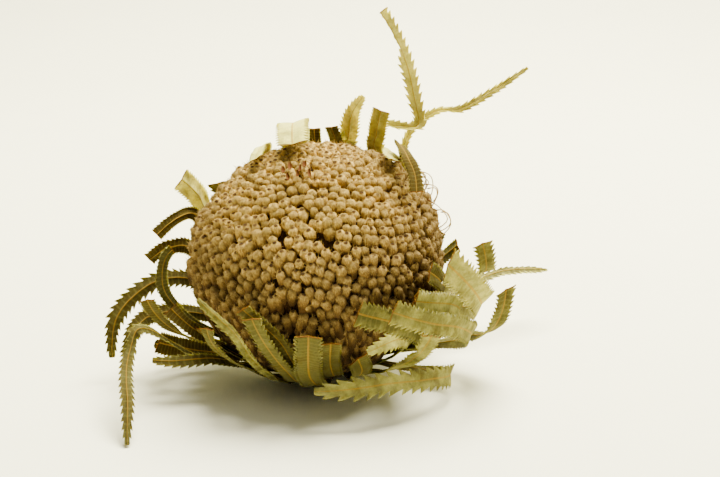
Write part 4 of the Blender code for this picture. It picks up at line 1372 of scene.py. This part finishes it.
# %% [markdown]
# ## The picture
#
# The cone lies on a white table, whose far end curves up into the backdrop. One large soft lamp hangs over
# it, a little behind and to the right, so that the leaves' upper rims and the crown catch the light.

# %% The table
TABLE_HALF_WIDTH = 2.2
TABLE_PROFILE = ((-2.0, 0.0), (0.55, 0.0), (0.72, 0.03), (0.82, 0.13), (0.86, 0.3), (0.87, 1.6))


def paint_table(tree):
    grain = speckle(tree, 40.0, detail=4.0)
    return blend(tree, grain, (0.89, 0.87, 0.62, 1.0), (0.92, 0.9, 0.65, 1.0))


def make_table():
    rows = [(x, y, z) for x in (-TABLE_HALF_WIDTH, TABLE_HALF_WIDTH) for y, z in TABLE_PROFILE]
    mesh = bpy.data.meshes.new("table")
    count = len(TABLE_PROFILE)
    mesh.from_pydata(rows, [], [(i, i + 1, count + i + 1, count + i)[::-1] for i in range(count - 1)])
    mesh.shade_smooth()
    mesh.materials.append(new_surface("table_paint", paint_table, 0.7))
    table = bpy.data.objects.new("table", mesh)
    bpy.context.collection.objects.link(table)
    return table


table = make_table()
print("table faces:", len(table.data.polygons))

# %% The lamp
LAMP_PLACE = Vector((0.17, 0.3, 0.9))
LAMP_AIM = Vector((0.0, 0.03, 0.03))
LAMP_SIZE = 0.8
LAMP_WATTS = 69.0
LAMP_COLOUR = (1.0, 0.965, 0.86)


def hang_lamp():
    lamp = bpy.data.lights.new("overhead_softbox", "AREA")
    lamp.shape = "DISK"
    lamp.size = LAMP_SIZE
    lamp.energy = LAMP_WATTS
    lamp.color = LAMP_COLOUR
    made = bpy.data.objects.new("overhead_softbox", lamp)
    made.location = LAMP_PLACE
    made.rotation_euler = (LAMP_AIM - LAMP_PLACE).to_track_quat("-Z", "Y").to_euler()
    bpy.context.collection.objects.link(made)
    return made


overhead = hang_lamp()
print("lamp watts:", overhead.data.energy)

# %% The room's light
ROOM_COLOUR = (1.0, 0.97, 0.86, 1.0)
ROOM_BEHIND = 0.6
ROOM_RIGHT = 0.35
ROOM_DIMMEST = 0.05
ROOM_BRIGHTEST = 0.72


def light_room():
    """A soft light all round, brightest above, behind and to the right, as the lamp is."""
    world = bpy.data.worlds.new("studio")
    world.use_nodes = True
    sky = world.node_tree
    heading = sky.nodes.new("ShaderNodeTexCoord")
    split = sky.nodes.new("ShaderNodeSeparateXYZ")
    sky.links.new(heading.outputs["Generated"], split.inputs[0])
    behind = sum_up(sky, "MULTIPLY_ADD", split.outputs[1], ROOM_BEHIND, split.outputs[2])
    lampward = sum_up(sky, "MULTIPLY_ADD", split.outputs[0], ROOM_RIGHT, behind)
    strength = soft_step(sky, lampward, -0.4, 0.9, ROOM_DIMMEST, ROOM_BRIGHTEST)
    sky.nodes["Background"].inputs["Color"].default_value = ROOM_COLOUR
    sky.links.new(strength, sky.nodes["Background"].inputs["Strength"])
    return world


bpy.context.scene.world = light_room()
print("world:", bpy.context.scene.world.name)

# %% [markdown]
# The camera stands in front, 16 degrees above the level, as in the photograph. Its place follows from the
# point that it looks at, given from the head's centre.

# %% The camera
TARGET = Vector(HEAD_CENTRE) + Vector((12.8, 2.2, 7.8)) * MM
VIEW = Vector((0.0, 0.9613, -0.2756)).normalized()
DISTANCE = 430.0 * MM
LENS_MM = 70.0
lens = bpy.data.cameras.new("photo_view")
lens.lens = LENS_MM
lens.clip_start = 0.01
camera = bpy.data.objects.new("photo_view", lens)
camera.location = TARGET - VIEW * DISTANCE
camera.rotation_euler = VIEW.to_track_quat("-Z", "Y").to_euler()
bpy.context.collection.objects.link(camera)
bpy.context.scene.camera = camera
print("camera at in mm:", [round(value / MM, 1) for value in camera.location])

# %% Final scene update
bpy.context.view_layer.update()
